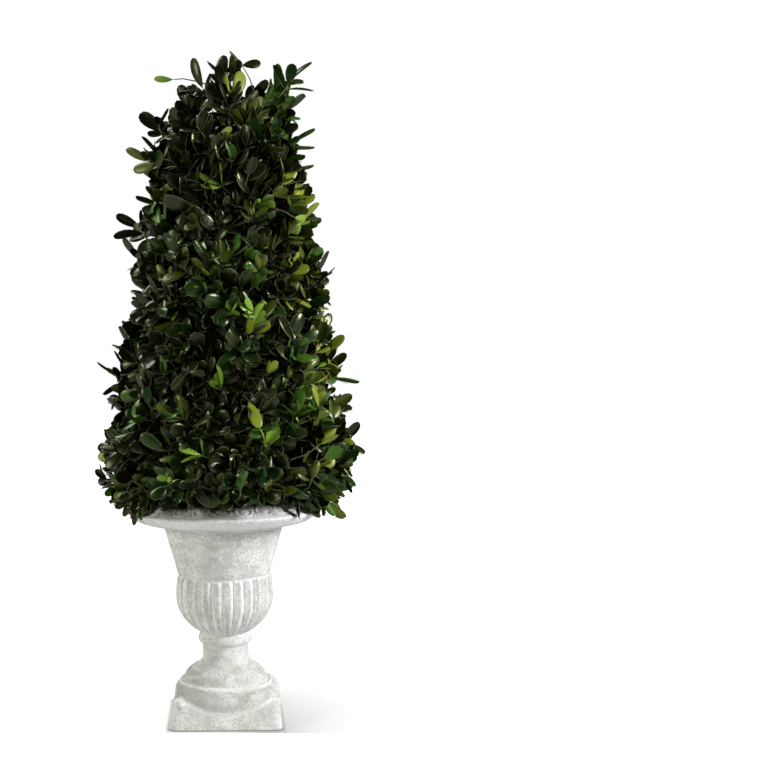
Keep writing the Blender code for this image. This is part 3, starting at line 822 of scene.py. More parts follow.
def build_stem():
    """An even taper whose foot flares out at the soil, with furrows cut along it."""
    flare = np.linspace(STEM_FOOT, STEM_FOOT + STEM_FLARE, 22)
    height = np.concatenate([flare[:-1], np.linspace(flare[-1], STEM_TIP, 90)])
    taper = STEM_RADIUS - STEM_TAPER * (height - STEM_FOOT) / (STEM_TIP - STEM_FOOT)
    radius = taper + FLARE_REACH * np.clip(1.0 - (height - STEM_FOOT) / STEM_FLARE, 0.0, 1.0) ** 2
    points = revolve(np.stack([radius - BARK_DEPTH, height], axis=-1), full_turn(STEM_STEPS))
    drawn = points * [1.0, 1.0, 0.16]
    furrows = 0.30 * value_noise(drawn, 1.7, 21) + 0.20 * value_noise(drawn * 2.1, 1.7, 22)
    points = points + grid_normals(points) * furrows[..., None] * [1.0, 1.0, 0.0]
    add_grid("stem_with_bark", points, old_bark, "main_stem", "bark")


build_stem()

# %% [markdown]
# ## The growth rule
#
# The crown grows by one seeded rule. Heights cut the cone into bands of equal area, and azimuths
# step on by the golden angle, so that nothing is crowded. A shoot sags a little at the foot of the
# cone and stands up at its top. Boughs leave the leader by that rule, twigs leave the nearest bough
# in small bunches, and leaves sit on the twigs in pairs, each pair a quarter turn from the last.

# %% Sizes of the crown
CROWN_HEIGHTS = [186, 200, 222, 264, 306, 348, 390, 432, 474, 504, 522, 536]
CROWN_RADII = [86, 98, 98, 90, 83, 75, 68, 61, 53, 43, 29, 10]
CROWN_LEAN = 4.0
CROWN_BOTTOM = 187.0
LEADER_TOP = 532.0
TOP_GROWTH = 0.10
GOLDEN_ANGLE = math.pi * (3.0 - math.sqrt(5.0))
UP = np.array([0.0, 0.0, 1.0])
rng = np.random.default_rng(27)


def crown_radius(height):
    """Radius of the clipped cone at a height."""
    return np.interp(height, CROWN_HEIGHTS, CROWN_RADII)


def crown_share(height):
    """How far up the crown a height lies, from 0 to 1."""
    return (height - CROWN_BOTTOM) / (LEADER_TOP - CROWN_BOTTOM)


def crown_axis(height):
    """A point on the cone's axis, which leans a little to +X."""
    share = np.clip(crown_share(height), 0.0, 1.0)
    return np.stack([CROWN_LEAN * share, np.zeros_like(share), height], axis=-1)


def from_axis(height, outward, reach):
    """Points that stand out from the cone's axis at a height."""
    return crown_axis(height) + outward * reach[:, None]


def compass(azimuth):
    """Level unit vectors that point outwards at an azimuth."""
    return np.stack([np.cos(azimuth), np.sin(azimuth), np.zeros_like(azimuth)], axis=-1)


def tilt(outward, slope):
    """Level directions turned up by a slope in radians."""
    return outward * np.cos(slope)[:, None] + UP * np.sin(slope)[:, None]


def shoot_slope(height):
    """How steeply a shoot rises, in radians."""
    share = crown_share(height)
    return np.radians(-8.0 + 44.0 * share + 34.0 * share ** 4)


def even_heights(count, top=LEADER_TOP - 2.0):
    """Heights that share the cone's side into equal areas, which count for less near the thin top."""
    ladder = np.linspace(CROWN_BOTTOM + 3.0, top, 400)
    thinning = 1.0 - 0.42 * smooth_step(ladder, 420.0, 520.0)
    area = np.cumsum((crown_radius(ladder) + 6.0) * thinning)
    return np.interp((np.arange(count) + 0.5) / count * area[-1], area, ladder)


def leaf_growth(height):
    """How much larger leaves are near the top, where the light is."""
    return 1.0 + TOP_GROWTH * smooth_step(height, 420.0, 530.0)


# %% Curved paths for many shoots at once
def curve_points(start, pull, end, share):
    """Quadratic curves: start and end, both drawn towards a third point, at shares of their way."""
    share = share[..., None]
    return (1.0 - share) ** 2 * start + 2.0 * share * (1.0 - share) * pull + share ** 2 * end


def wandering_curves(start, pull, end, rows, wander):
    """Such curves in even steps, which wander most in their middle."""
    share = np.tile(np.linspace(0.0, 1.0, rows), (len(start), 1))
    shift = rng.normal(0.0, wander, (*share.shape, 3)) * (share * (1.0 - share) * 4.0)[..., None]
    return curve_points(start[:, None], pull[:, None], end[:, None], share) + shift


def sweep_tubes(paths, radii, sides):
    """Carries a ring round each path, square to it, and returns points, corners and counts."""
    count, rows = paths.shape[:2]
    along = unit(np.gradient(paths, axis=1))
    whole = unit(paths[:, -1] - paths[:, 0])
    helper = np.where(np.abs(whole[:, 2:]) < 0.8, [[0.0, 0.0, 1.0]], [[1.0, 0.0, 0.0]])[:, None, :]
    side = unit(np.cross(along, helper))
    upward = np.cross(side, along)
    angle = full_turn(sides)[:, None]
    ring = np.cos(angle) * side[:, :, None] + np.sin(angle) * upward[:, :, None]
    points = paths[:, :, None] + ring * radii[:, :, None, None]
    corners, sizes = grid_faces(rows, sides)
    shifts = np.arange(count)[:, None] * rows * sides
    return points, (corners + shifts).ravel(), np.tile(sizes, count)


# %% The leader and its boughs
BOUGH_COUNT = 96
BOUGH_SHARE = 0.66
BOUGH_ROWS = 9
LOWEST_ROOT = 196.0
BOUGH_RADII = (1.9, 1.0)
LEADER_ROWS = 40
LEADER_RADII = (3.9, 0.8)


def grow_boughs():
    """Paths of the boughs: out of the leader, then up or down to two thirds of the cone's radius."""
    height = even_heights(BOUGH_COUNT)
    outward = compass(np.arange(BOUGH_COUNT) * GOLDEN_ANGLE)
    reach = BOUGH_SHARE * crown_radius(height)
    root_height = np.clip(height - reach * np.tan(shoot_slope(height)) - 8.0, LOWEST_ROOT, LEADER_TOP - 14.0)
    start = crown_axis(root_height)
    pull = start + (outward * 0.55 + 0.1 * UP) * reach[:, None]
    return wandering_curves(start, pull, from_axis(height, outward, reach), BOUGH_ROWS, 1.2)


bough_paths = grow_boughs()
bough_radii = np.linspace(*BOUGH_RADII, BOUGH_ROWS) * rng.uniform(0.85, 1.15, (BOUGH_COUNT, 1))
leader_height = np.linspace(STEM_TIP - 4.0, LEADER_TOP, LEADER_ROWS)
leader_path = crown_axis(leader_height)[None]
leader_path[0, :, :2] += 0.8 * np.stack([np.sin(leader_height / 17.0), np.cos(leader_height / 13.0)], axis=-1)
leader_radii = np.linspace(*LEADER_RADII, LEADER_ROWS)[None]
add_piece("boughs", *sweep_tubes(bough_paths, bough_radii, 7), [old_bark], "foliage", "bark")
add_piece("leader", *sweep_tubes(leader_path, leader_radii, 14), [old_bark], "foliage", "bark")

# %% [markdown]
# ## Twigs
#
# Each twig starts on a bough and bends until it points the way its shoot grows. A clipped plant
# carries most of its twigs near the surface, in bunches with dark gaps between them, and shorter,
# shaded ones behind. Some loose shoots stand out of the clipped surface and give the outline its
# free ends. They are listed one by one, by where their last leaf ends, and so are the bright young
# shoots that catch the eye on the front.

# %% Leaf colours: how often each comes on the shaded and on the sunny side, its base, its roughness
LEAF_KINDS = {
    "black_green": (0.44, 0.13, (0.0075, 0.0115, 0.0025), 0.24),
    "brown_olive": (0.24, 0.16, (0.019, 0.023, 0.006), 0.26),
    "deep_green": (0.12, 0.11, (0.010, 0.031, 0.004), 0.25),
    "olive": (0.12, 0.30, (0.068, 0.090, 0.008), 0.30),
    "mid_green": (0.05, 0.12, (0.040, 0.114, 0.009), 0.30),
    "blue_green": (0.005, 0.01, (0.011, 0.042, 0.011), 0.26),
    "lime": (0.015, 0.06, (0.200, 0.350, 0.034), 0.34),
    "golden": (0.01, 0.11, (0.205, 0.252, 0.017), 0.36),
}
BLACK, BROWN, DEEP, OLIVE, MID, BLUE, LIME, GOLD = range(len(LEAF_KINDS))
OLDER_KINDS = np.array([BLACK, BROWN, DEEP, BROWN, DEEP, BLUE, OLIVE, OLIVE])
SHADED_SHARES, SUNNY_SHARES = np.array([kind[:2] for kind in LEAF_KINDS.values()]).T


def deal_kinds(tip, first_kinds=len(LEAF_KINDS)):
    """A colour number for each shoot, from the first few kinds; the light ones lean to +X, the key light's
    side.
    """
    side = tip[:, 0] / np.maximum(np.linalg.norm(tip[:, :2], axis=1), 1.0)
    # More light colours towards +X: the paler growth of a sunny side, and painted light from the key light.
    sun = smooth_step(side, 0.0, 0.9)[:, None]
    shares = (SHADED_SHARES + (SUNNY_SHARES - SHADED_SHARES) * sun)[:, :first_kinds]
    ladder = np.cumsum(shares, axis=1) / shares.sum(axis=1, keepdims=True)
    return np.minimum((rng.random((len(tip), 1)) > ladder).sum(axis=1), first_kinds - 1)


# %% Loose shoots by azimuth, height and reach of the last tip, its rise in degrees, and its colour
LOOSE_SHOOTS = [
    (-12, 552, 64, 66, DEEP), (6, 546, 50, 74, MID), (-4, 530, 60, 60, MID), (4, 516, 71, 22, BLACK),
    (-6, 499, 68, 55, MID), (10, 488, 74, 28, MID), (-2, 464, 74, 16, OLIVE), (8, 441, 76, 32, GOLD),
    (-12, 428, 80, 40, GOLD), (2, 420, 80, 20, OLIVE), (-4, 388, 90, 52, BLACK), (5, 378, 93, 48, BLACK),
    (-10, 352, 88, 22, BLUE), (3, 338, 92, 50, BROWN), (-3, 320, 99, 42, GOLD), (6, 302, 104, 30, OLIVE),
    (0, 288, 112, 10, MID), (-8, 270, 106, 30, OLIVE), (4, 262, 108, 15, BLACK), (-2, 247, 112, 48, BLACK),
    (1, 228, 119, 2, DEEP), (-12, 222, 114, 20, MID), (6, 208, 109, 8, OLIVE), (-6, 198, 108, 20, MID),
    (-36, 170, 87, -62, DEEP), (-28, 176, 95, -45, DEEP), (0, 186, 98, -10, BLACK), (-20, 171, 95, -58, MID),
    (-14, 169, 102, -40, OLIVE), (-42, 173, 87, -66, BLACK), (-32, 178, 92, -30, BLACK),
    (211, 166, 88, -76, BROWN), (-8, 176, 101, -30, MID), (205, 173, 90, -55, BROWN),
    (196, 175, 92, -40, BLACK), (216, 172, 87, -62, DEEP), (187, 519, 64, 72, BLACK),
    (174, 506, 73, 38, BLACK), (192, 484, 71, 50, BROWN), (182, 472, 85, 18, OLIVE), (172, 461, 73, 30, MID),
    (188, 441, 71, 40, BLACK), (178, 421, 91, 30, BLACK), (186, 409, 93, 12, BROWN),
    (172, 401, 90, 45, BLACK), (184, 372, 78, 40, DEEP), (176, 348, 80, 30, BLACK), (182, 321, 95, 35, BLACK),
    (174, 309, 98, 15, BROWN), (186, 298, 107, 34, BLACK), (179, 287, 103, 12, BLACK),
    (171, 262, 97, 6, BLACK), (190, 243, 100, 45, MID), (176, 229, 106, 25, OLIVE), (183, 219, 108, 5, GOLD),
    (170, 210, 106, 0, BLACK), (188, 199, 104, 10, DEEP), (178, 186, 101, -14, DEEP),
    (200, 178, 95, -50, BROWN), (-104, 551, 20, 80, BLACK), (-70, 547, 30, 30, BROWN),
    (-150, 543, 38, 50, BROWN), (60, 541, 28, 66, DEEP), (112, 536, 24, 60, BLACK), (165, 534, 32, 52, BLACK),
    (28, 537, 36, 55, BROWN), (92, 547, 10, 80, OLIVE), (140, 529, 44, 40, DEEP), (80, 524, 46, 35, OLIVE),
]
LONE_LEAVES = [(180, 531, 60, -8, LIME), (0, 559, 5, 123, OLIVE), (-4, 547, 30, 6, BROWN)]

# %% Bright shoots on the front by distance right of the middle, height, lean in degrees, and colour
BRIGHT_SHOOTS = [
    (-16, 445, -45, LIME), (2, 467, 0, MID), (-9, 473, 5, LIME), (23, 502, 14, OLIVE), (7, 497, -30, OLIVE),
    (3, 480, 80, GOLD), (35, 521, 8, MID), (-30, 412, 5, OLIVE), (-57, 412, 0, DEEP), (-7, 385, -10, OLIVE),
    (7, 391, 20, MID), (-57, 373, -20, OLIVE), (25, 367, 20, MID), (4, 343, 10, LIME), (26, 335, 30, LIME),
    (27, 325, 60, GOLD), (40, 297, 36, GOLD), (-8, 287, -18, LIME), (-49, 297, 30, MID), (57, 265, 0, MID),
    (38, 244, 30, LIME), (79, 256, 70, OLIVE), (-45, 261, 40, MID), (-30, 231, -62, LIME),
    (66, 213, -40, OLIVE), (13, 209, 4, MID), (-54, 208, -80, LIME), (-40, 207, 30, MID), (63, 441, 40, GOLD),
    (60, 428, 60, OLIVE), (52, 449, 30, GOLD), (66, 417, 50, GOLD), (56, 408, 35, OLIVE), (62, 457, 20, MID),
    (48, 434, 70, OLIVE), (82, 314, 40, GOLD), (84, 298, 60, LIME), (76, 325, 20, OLIVE), (80, 284, 70, GOLD),
    (72, 300, 30, OLIVE), (40, 480, 40, OLIVE), (48, 500, 25, MID), (90, 226, 60, MID), (86, 240, 45, GOLD),
]

# %% Plan the shoots
LEAF_LENGTH = 23.0
LOOSE_SIZE = 1.02
LONE_SIZE = 0.66


def plan_layer(bunches, shoots, share, spread, top):
    """Tip, direction and reach of bunched shoots, fanned out a little from the middle of each bunch."""
    count = bunches * shoots
    height = np.repeat(even_heights(bunches, top) + rng.uniform(-7.0, 7.0, bunches), shoots)
    azimuth = np.repeat(np.arange(bunches) * GOLDEN_ANGLE + rng.uniform(-0.12, 0.12, bunches), shoots)
    depth = np.repeat(share + rng.uniform(-spread, spread, bunches), shoots)
    off_up, off_round = rng.normal(0.0, 8.0, (2, count))
    height = np.clip(height + off_up, CROWN_BOTTOM + 1.0, top + 4.0)
    outward = compass(azimuth + off_round / (crown_radius(height) + 10.0))
    reach = crown_radius(height) * (depth + rng.normal(0.0, 0.035, count))
    aim = tilt(outward, shoot_slope(height) + rng.normal(0.12, 0.36, count))
    aim = aim + 0.045 * (off_up[:, None] * UP + off_round[:, None] * np.cross(UP, outward))
    aim = aim + rng.normal(0.0, 0.20, (count, 3))
    return from_axis(height, outward, reach), unit(aim), crown_radius(height) + 12.0


def plan_skirt(count):
    """Short level shoots just above the rim, from the soil's edge out to the crown's lowest leaves."""
    outward = compass(np.arange(count) * GOLDEN_ANGLE + rng.uniform(-0.1, 0.1, count))
    height = CROWN_BOTTOM + rng.uniform(1.0, 10.0, count)
    reach = crown_radius(height) * rng.uniform(0.60, 0.96, count)
    aim = tilt(outward, rng.normal(0.0, 0.16, count)) + rng.normal(0.0, 0.15, (count, 3))
    return from_axis(height, outward, reach), unit(aim), crown_radius(height) + 13.0


def plan_loose(rows, size):
    """Shoots whose last leaf ends at the listed place."""
    azimuth, height, reach, rise = np.array(rows, float).T[:4]
    outward = compass(np.radians(azimuth))
    aim = tilt(outward, np.radians(rise))
    target = outward * reach[:, None] + UP * height[:, None]
    return target - aim * (LEAF_LENGTH * size * leaf_growth(height))[:, None], aim, reach + 8.0


def plan_bright(rows):
    """Short shoots on the front of the cone that lie nearly flat on it."""
    across, height, lean = np.array(rows, float).T[:3]
    outward = compass(np.arcsin(np.clip(across / (crown_radius(height) + 6.0), -0.99, 0.99)) - 0.5 * np.pi)
    upright = np.radians(90.0 - lean)
    aim = unit(0.45 * outward + tilt(np.cross(UP, outward), upright))
    middle = from_axis(height, outward, crown_radius(height) + 3.0)
    return middle - aim * 0.5 * LEAF_LENGTH, aim, crown_radius(height) + 16.0


# %% Plan every layer and join each of its twigs to a bough
# Bunches, shoots in each, depth as a share of the cone's radius, its spread, and greatest height
BUNCHES = {
    "outer": (196, 3, 0.89, 0.10, 514.0),
    "middle": (138, 3, 0.71, 0.08, 498.0),
    "inner": (105, 3, 0.50, 0.10, 475.0),
}
STRAY_BUNCHES = (64, 1, 1.06, 0.05, 505.0)
SKIRT_SHOOTS = 104
MIDDLE_KINDS = 4


def grow_twigs(tip, aim):
    """Start, pull and end of each twig's curve, from the bough point nearest to a place behind its tip."""
    samples = bough_paths[:, 2:].reshape(-1, 3)
    wanted = tip - aim * 26.0 + (crown_axis(tip[:, 2]) - tip) * 0.12
    gaps = np.linalg.norm(wanted[:, None] - samples, axis=-1)
    start = samples[np.argmin(gaps, axis=1)]
    return start, tip - aim * np.linalg.norm(tip - start, axis=1, keepdims=True) * 0.5, tip


layers = {name: plan_layer(*sizes) for name, sizes in BUNCHES.items()}
kinds = {"outer": deal_kinds(layers["outer"][0]), "middle": deal_kinds(layers["middle"][0], MIDDLE_KINDS)}
kinds["inner"] = np.full(len(layers["inner"][0]), BLACK)
layers["stray"] = plan_layer(*STRAY_BUNCHES)
kinds["stray"] = deal_kinds(layers["stray"][0])
layers["skirt"] = plan_skirt(SKIRT_SHOOTS)
kinds["skirt"] = deal_kinds(layers["skirt"][0])
layers["loose"] = plan_loose(LOOSE_SHOOTS, LOOSE_SIZE)
layers["lone"] = plan_loose(LONE_LEAVES, LONE_SIZE)
layers["bright"] = plan_bright(BRIGHT_SHOOTS)
LISTED = {"loose": LOOSE_SHOOTS, "lone": LONE_LEAVES, "bright": BRIGHT_SHOOTS}
kinds.update({name: np.array([row[-1] for row in rows]) for name, rows in LISTED.items()})
twigs = {name: grow_twigs(*plan[:2]) for name, plan in layers.items()}
print({name: len(plan[0]) for name, plan in layers.items()}, "shoots")

# %% [markdown]
# ## Leaves
#
# A boxwood leaf is egg-shaped with the broad end outwards, 15 to 28 mm long, leathery, dark and
# glossy above, with a thin pale edge. One leaf is a small grid of points. Along it the width is a
# power of the way out times a root of the way left, which gives a narrow foot and a round tip.
# Across, the blade folds at the midrib and its edge rolls down. Thousands of leaves are the same
# grid with their own length, width, fold and bend, placed by their own three directions.

# %% One leaf as a grid
WIDEST = 0.9 / 1.4


def leaf_template(rows, columns):
    """Shares along and across for each point, the faces, and which faces belong to the pale edge."""
    along = np.concatenate([[0.0], np.repeat(rows, len(columns)), [1.0]])
    across = np.concatenate([[0.0], np.tile(columns, len(rows)), [0.0]])
    wide = len(columns)
    cells = np.arange(wide - 1)
    last = 1 + (len(rows) - 1) * wide
    foot = np.stack([np.zeros_like(cells), 1 + cells, 2 + cells], axis=-1)
    tip = np.stack([np.full_like(cells, len(along) - 1), last + cells + 1, last + cells], axis=-1)
    start = (1 + np.arange(len(rows) - 1)[:, None] * wide + cells).ravel()
    quads = np.stack([start, start + wide, start + wide + 1, start + 1], axis=-1)
    corners = np.concatenate([foot.ravel(), quads.ravel(), tip.ravel()])
    sizes = np.repeat([3, 4, 3], [len(foot), len(quads), len(tip)])
    column = np.tile(cells, len(rows) + 1)
    edge = ((column == 0) | (column == wide - 2)) & (wide > 3)
    return {"along": along, "across": across, "corners": corners, "sizes": sizes, "edge": edge}


def leaf_width(share):
    """Half width along the leaf, 1 at its widest: a power of the way out times a root of the rest."""
    shape = share ** 0.9 * np.sqrt(np.clip(1.0 - share, 0.0, 1.0))
    return shape / (WIDEST ** 0.9 * math.sqrt(1.0 - WIDEST)) * smooth_step(share, -0.05, 0.16)


blade = leaf_template([0.09, 0.25, 0.44, 0.63, 0.81, 0.94], [-1.0, -0.89, -0.50, 0.0, 0.50, 0.89, 1.0])
plain_blade = leaf_template([0.28, 0.72], [-1.0, 0.0, 1.0])
print("faces of a leaf:", len(blade["sizes"]), "and of a shaded leaf:", len(plain_blade["sizes"]))

# %% Place the leaves on their twigs
PAIR_STEPS = np.array([2.0, 6.5, 12.0, 18.5, 26.0])
PAIR_SPLAY = np.radians([29.0, 42.0, 53.0, 61.0, 67.0])
PAIR_SIZE = np.array([0.72, 0.90, 1.0, 1.0, 0.94])
YOUNG_PAIRS = 2
SHOOT_SIZES = (0.80, 1.18)
PAIR_SIZES = (0.80, 1.12)
TIP_SIZES = (0.60, 0.95)


def place_leaves(name, pairs, size, tip_scatter):
    """Root, directions, length, limit and kind of each leaf: opposite pairs, then one at the tip."""
    start, pull, end = twigs[name]
    reach = layers[name][2]
    count = len(end)
    shape = (count, pairs, 2)
    shoot_size = size * rng.uniform(*SHOOT_SIZES, count) if tip_scatter else np.full(count, size)
    shoot_size = shoot_size * leaf_growth(end[:, 2])
    length = np.linalg.norm(end - start, axis=1, keepdims=True) * 1.05
    share = np.clip(1.0 - PAIR_STEPS[:pairs] * shoot_size[:, None] / length, 0.05, 1.0)
    root = curve_points(start[:, None], pull[:, None], end[:, None], share)
    way = share[..., None]
    ahead = unit((1.0 - way) * (pull - start)[:, None] + way * (end - pull)[:, None])
    end_aim = unit(end - pull)
    helper = unit(np.cross(end_aim, unit(rng.normal(0.0, 1.0, (count, 3)))))[:, None]
    other = np.cross(ahead, helper)[:, :, None]
    turn = rng.uniform(0.0, np.pi, (count, 1, 1)) + np.arange(pairs)[:, None] * 0.5 * np.pi
    turn = (turn + [0.0, np.pi] + rng.normal(0.0, 0.25, shape))[..., None]
    splay = (PAIR_SPLAY[:pairs, None] + rng.normal(0.0, 0.22, shape))[..., None]
    outward = np.cos(turn) * helper[:, :, None] + np.sin(turn) * other
    ahead = ahead[:, :, None]
    axis = unit(np.cos(splay) * ahead + np.sin(splay) * outward + 0.10 * UP)
    face = ahead * np.sin(splay) - outward * np.cos(splay)
    scale = PAIR_SIZE[:pairs, None] * rng.uniform(*PAIR_SIZES, shape) * shoot_size[:, None, None]
    young = (np.arange(pairs) < YOUNG_PAIRS)[:, None]
    kind = np.where(young, kinds[name][:, None, None], OLDER_KINDS[kinds[name]][:, None, None])
    tip_axis = unit(end_aim + rng.normal(0.0, 1.0, (count, 3)) * tip_scatter)
    tip_face = unit(rng.normal(0.0, 1.0, (count, 3)) + 0.8 * UP + compass(np.arctan2(end[:, 1], end[:, 0])))
    tip_scale = shoot_size * (rng.uniform(*TIP_SIZES, count) if tip_scatter else 1.0)
    both = {
        "root": (root[:, :, None], end),
        "axis": (axis, tip_axis),
        "face": (face, tip_face),
        "length": (scale * LEAF_LENGTH, tip_scale * LEAF_LENGTH),
        "limit": (reach[:, None, None], reach),
        "kind": (kind, kinds[name]),
    }
    return {
        key: np.concatenate([np.broadcast_to(pair, shape + tip.shape[1:]).reshape(-1, *tip.shape[1:]), tip])
        for key, (pair, tip) in both.items()
    }


# %% Shape all the leaves
LEAF_TWIST = 0.40
LEAF_WIDTHS = (0.80, 1.18)
LEAF_FOLDS = (-0.28, 0.34)
LEAF_BENDS = (-0.46, 0.06)


def shape_leaves(leaves, template, width_share):
    """Points of every leaf: out along its axis, across by its width, and up by fold, bend and roll."""
    count = len(leaves["length"])
    axis = unit(leaves["axis"])
    twist = rng.normal(0.0, LEAF_TWIST, (count, 1))
    side = unit(np.cross(leaves["face"], axis))
    face = np.cross(axis, side)
    side, face = side * np.cos(twist) + face * np.sin(twist), face * np.cos(twist) - side * np.sin(twist)
    length = leaves["length"][:, None]
    width = length * width_share * rng.uniform(*LEAF_WIDTHS, (count, 1))
    fold = rng.uniform(*LEAF_FOLDS, (count, 1))
    bend = rng.uniform(*LEAF_BENDS, (count, 1))
    share = template["along"]
    across = template["across"]
    half = 0.5 * width * leaf_width(share)
    lift = half * fold * np.abs(across) + length * bend * share ** 2
    lift = lift - half * (0.20 * across ** 2 + 0.14 * across ** 6)
    out = length * share * (1.0 - 0.25 * bend ** 2 * share)
    points = leaves["root"][:, None] + out[..., None] * axis[:, None]
    return points + (half * across)[..., None] * side[:, None] + lift[..., None] * face[:, None]


# %% Keep the leaves off the urn and within their reach
RIM_EDGE = 82.3
RIM_RADII = [64.0, 66.8, 69.5, 72.5, 77.0, 81.2]
RIM_LEVELS = [RIM_TOP, 181.6, 179.9, 177.8, 175.4, 173.0]
LEAF_AIR = 1.2
DRAPE_DEPTH = 7.0
LEAF_FLOOR = 180.0
HANGING_FLOOR = 162.0
BARE_RIM_AZIMUTH = math.radians(-54.0)
BARE_RIM_LIFT = 10.0


def over_rim(points):
    """Distance from the axis, and the height of the leaning rim there with a leaf's thickness of air."""
    radius = np.hypot(points[..., 0], points[..., 1])
    return radius, np.interp(radius, RIM_RADII, RIM_LEVELS) + BOWL_LEAN * points[..., 0] + LEAF_AIR


def lift_off_rim(points):
    """Raises points that dip a little under the rim's surface, so that their leaves lie on it."""
    radius, rim = over_rim(points)
    dips = (radius < RIM_EDGE) & (points[..., 2] < rim) & (points[..., 2] > rim - DRAPE_DEPTH)
    points[..., 2] = np.where(dips, rim, points[..., 2])
    return points


def clear_of_urn(points):
    """Whether points keep above the rim and the soil inside it, or outside its edge."""
    radius, rim = over_rim(points)
    return (radius > RIM_EDGE) | (points[..., 2] > rim - 0.1)


def keep_in_reach(points, limit, floor):
    """Which leaves stay within their reach of the cone's axis, above a floor and clear of the urn."""
    x, y, height = np.moveaxis(points, -1, 0)
    offset = np.linalg.norm((points - crown_axis(height))[..., :2], axis=-1)
    bare = near(np.arctan2(y, x), BARE_RIM_AZIMUTH, 0.34) * (floor > HANGING_FLOOR)
    inside = (offset < limit[:, None]) & clear_of_urn(points) & (height > floor + BARE_RIM_LIFT * bare)
    return inside.all(axis=1)


# %% [markdown]
# ## Leaf finishes
#
# Most leaves of this plant are so dark that they look black, with a waxy shine. Between them are
# olive and mid green shoots and a few lime or golden ones, more of them towards +X, the side of the
# key light: the paler growth of a sunny side, and painted light. Each shoot is dealt one colour, its
# older leaves a darker one, and each colour is a plain base under its own small bumps and shine. The
# thin rolled edge of a leaf is a little paler: partly its own pale margin, partly a painted highlight.

# %% Leaf finishes
# The edge colour is partly the leaf's own pale margin and partly a painted highlight on the rolled edge.
EDGE_COLOUR = (0.075, 0.085, 0.036)
EDGE_ROUGHNESS = 0.34
LEAF_SPECULAR = 0.50
WAX_TINT = (0.84, 0.95, 0.58, 1.0)


def leaf_material(name, colour, roughness):
    """A plain waxy colour with fine bumps and an uneven shine."""
    material, shader, place = new_material(name)
    skin = noise(place, 700.0, 3.0)
    fill_inputs(shader, {
        "Base Color": (*colour, 1.0),
        "Specular IOR Level": LEAF_SPECULAR,
        "Specular Tint": WAX_TINT,
        "Roughness": remap(skin, 0.3, 0.7, roughness - 0.06, roughness + 0.08),
        "Normal": bump(skin, 0.25, 0.0002),
    })
    return material


leaf_edge = leaf_material("leaf_edge", EDGE_COLOUR, EDGE_ROUGHNESS)
leaf_colours = [leaf_material("leaf_" + name, *kind[2:]) for name, kind in LEAF_KINDS.items()]
print(len(leaf_colours), "leaf colours")

# %% Grow the leaves
# Pairs of leaves, size, scatter of the last leaf, and width as a share of length
GROWTH = {
    "outer": (4, 1.0, 0.22, 0.51),
    "middle": (3, 1.0, 0.22, 0.51),
    "stray": (2, 1.0, 0.22, 0.47),
    "skirt": (3, 1.0, 0.22, 0.51),
    "loose": (2, LOOSE_SIZE, 0.0, 0.44),
    "lone": (0, LONE_SIZE, 0.0, 0.40),
    "bright": (1, 0.95, 0.10, 0.51),
}
leaf_points = []
leaf_kinds = []
for name, (*growth, width) in GROWTH.items():
    leaves = place_leaves(name, *growth)
    points = lift_off_rim(shape_leaves(leaves, blade, width))
    kept = keep_in_reach(points, leaves["limit"], HANGING_FLOOR if name in LISTED else LEAF_FLOOR)
    leaf_points.append(points[kept])
    leaf_kinds.append(leaves["kind"][kept])
    print(name, "layer keeps", int(kept.sum()), "of", len(kept), "leaves")
leaf_points = np.concatenate(leaf_points)
leaf_kinds = np.concatenate(leaf_kinds)

# %% Join them by colour
LEAVES_PER_PIECE = 2600


def add_leaves(name, points, template, materials):
    """Joins leaves of one kind to a piece; faces of the pale edge use the second material."""
    count, size = points.shape[:2]
    corners = (template["corners"] + np.arange(count)[:, None] * size).ravel()
    piece = add_piece(name, points, corners, np.tile(template["sizes"], count), materials, "foliage", "leaf")
    edges = np.tile(template["edge"], count).astype(np.int32)
    piece.data.polygons.foreach_set("material_index", edges)


for number, name in enumerate(LEAF_KINDS):
    chosen = leaf_points[leaf_kinds == number]
    parts = max(1, math.ceil(len(chosen) / LEAVES_PER_PIECE))
    for part, points in enumerate(np.array_split(chosen, parts), 1):
        label = "leaves_" + name + ("_" + str(part) if parts > 1 else "")
        add_leaves(label, points, blade, [leaf_colours[number], leaf_edge])

shaded = place_leaves("inner", 5, 1.1, 0.22)
points = shape_leaves(shaded, plain_blade, 0.55)
points = points[keep_in_reach(points, shaded["limit"], LEAF_FLOOR)]
add_leaves("leaves_shaded", points, plain_blade, [leaf_colours[BLACK]])

# %% Build the twigs
TWIG_ROWS = 7
TWIG_RADII = (0.85, 0.42)


def build_twigs():
    """All twigs as thin tapering tubes along their curves."""
    curves = [np.concatenate(ends) for ends in zip(*twigs.values())]
    paths = wandering_curves(*curves, TWIG_ROWS, 0.35)
    radii = np.linspace(*TWIG_RADII, TWIG_ROWS) * rng.uniform(0.85, 1.2, (len(paths), 1))
    kept = clear_of_urn(paths).all(axis=1)
    add_piece("twigs", *sweep_tubes(paths[kept], radii[kept], 5), [young_bark], "foliage", "bark")


build_twigs()

# %% [markdown]
# ## Floor and light
#
# The object stands on a pale lit table against white. The table glows for the camera, so it stays
# white all round. Its glow carries a painted soft shade, which starts at the foot's front right corner
# and reaches three times as far back as sideways, and a thin painted shadow round the foot. A bright
# soft light comes from the right, a weaker and larger one from the left, and one from above, at the
# left and a little behind the plant. Hardly any light comes from elsewhere, so the gaps between
# leaves go black. The Standard view keeps this contrast.

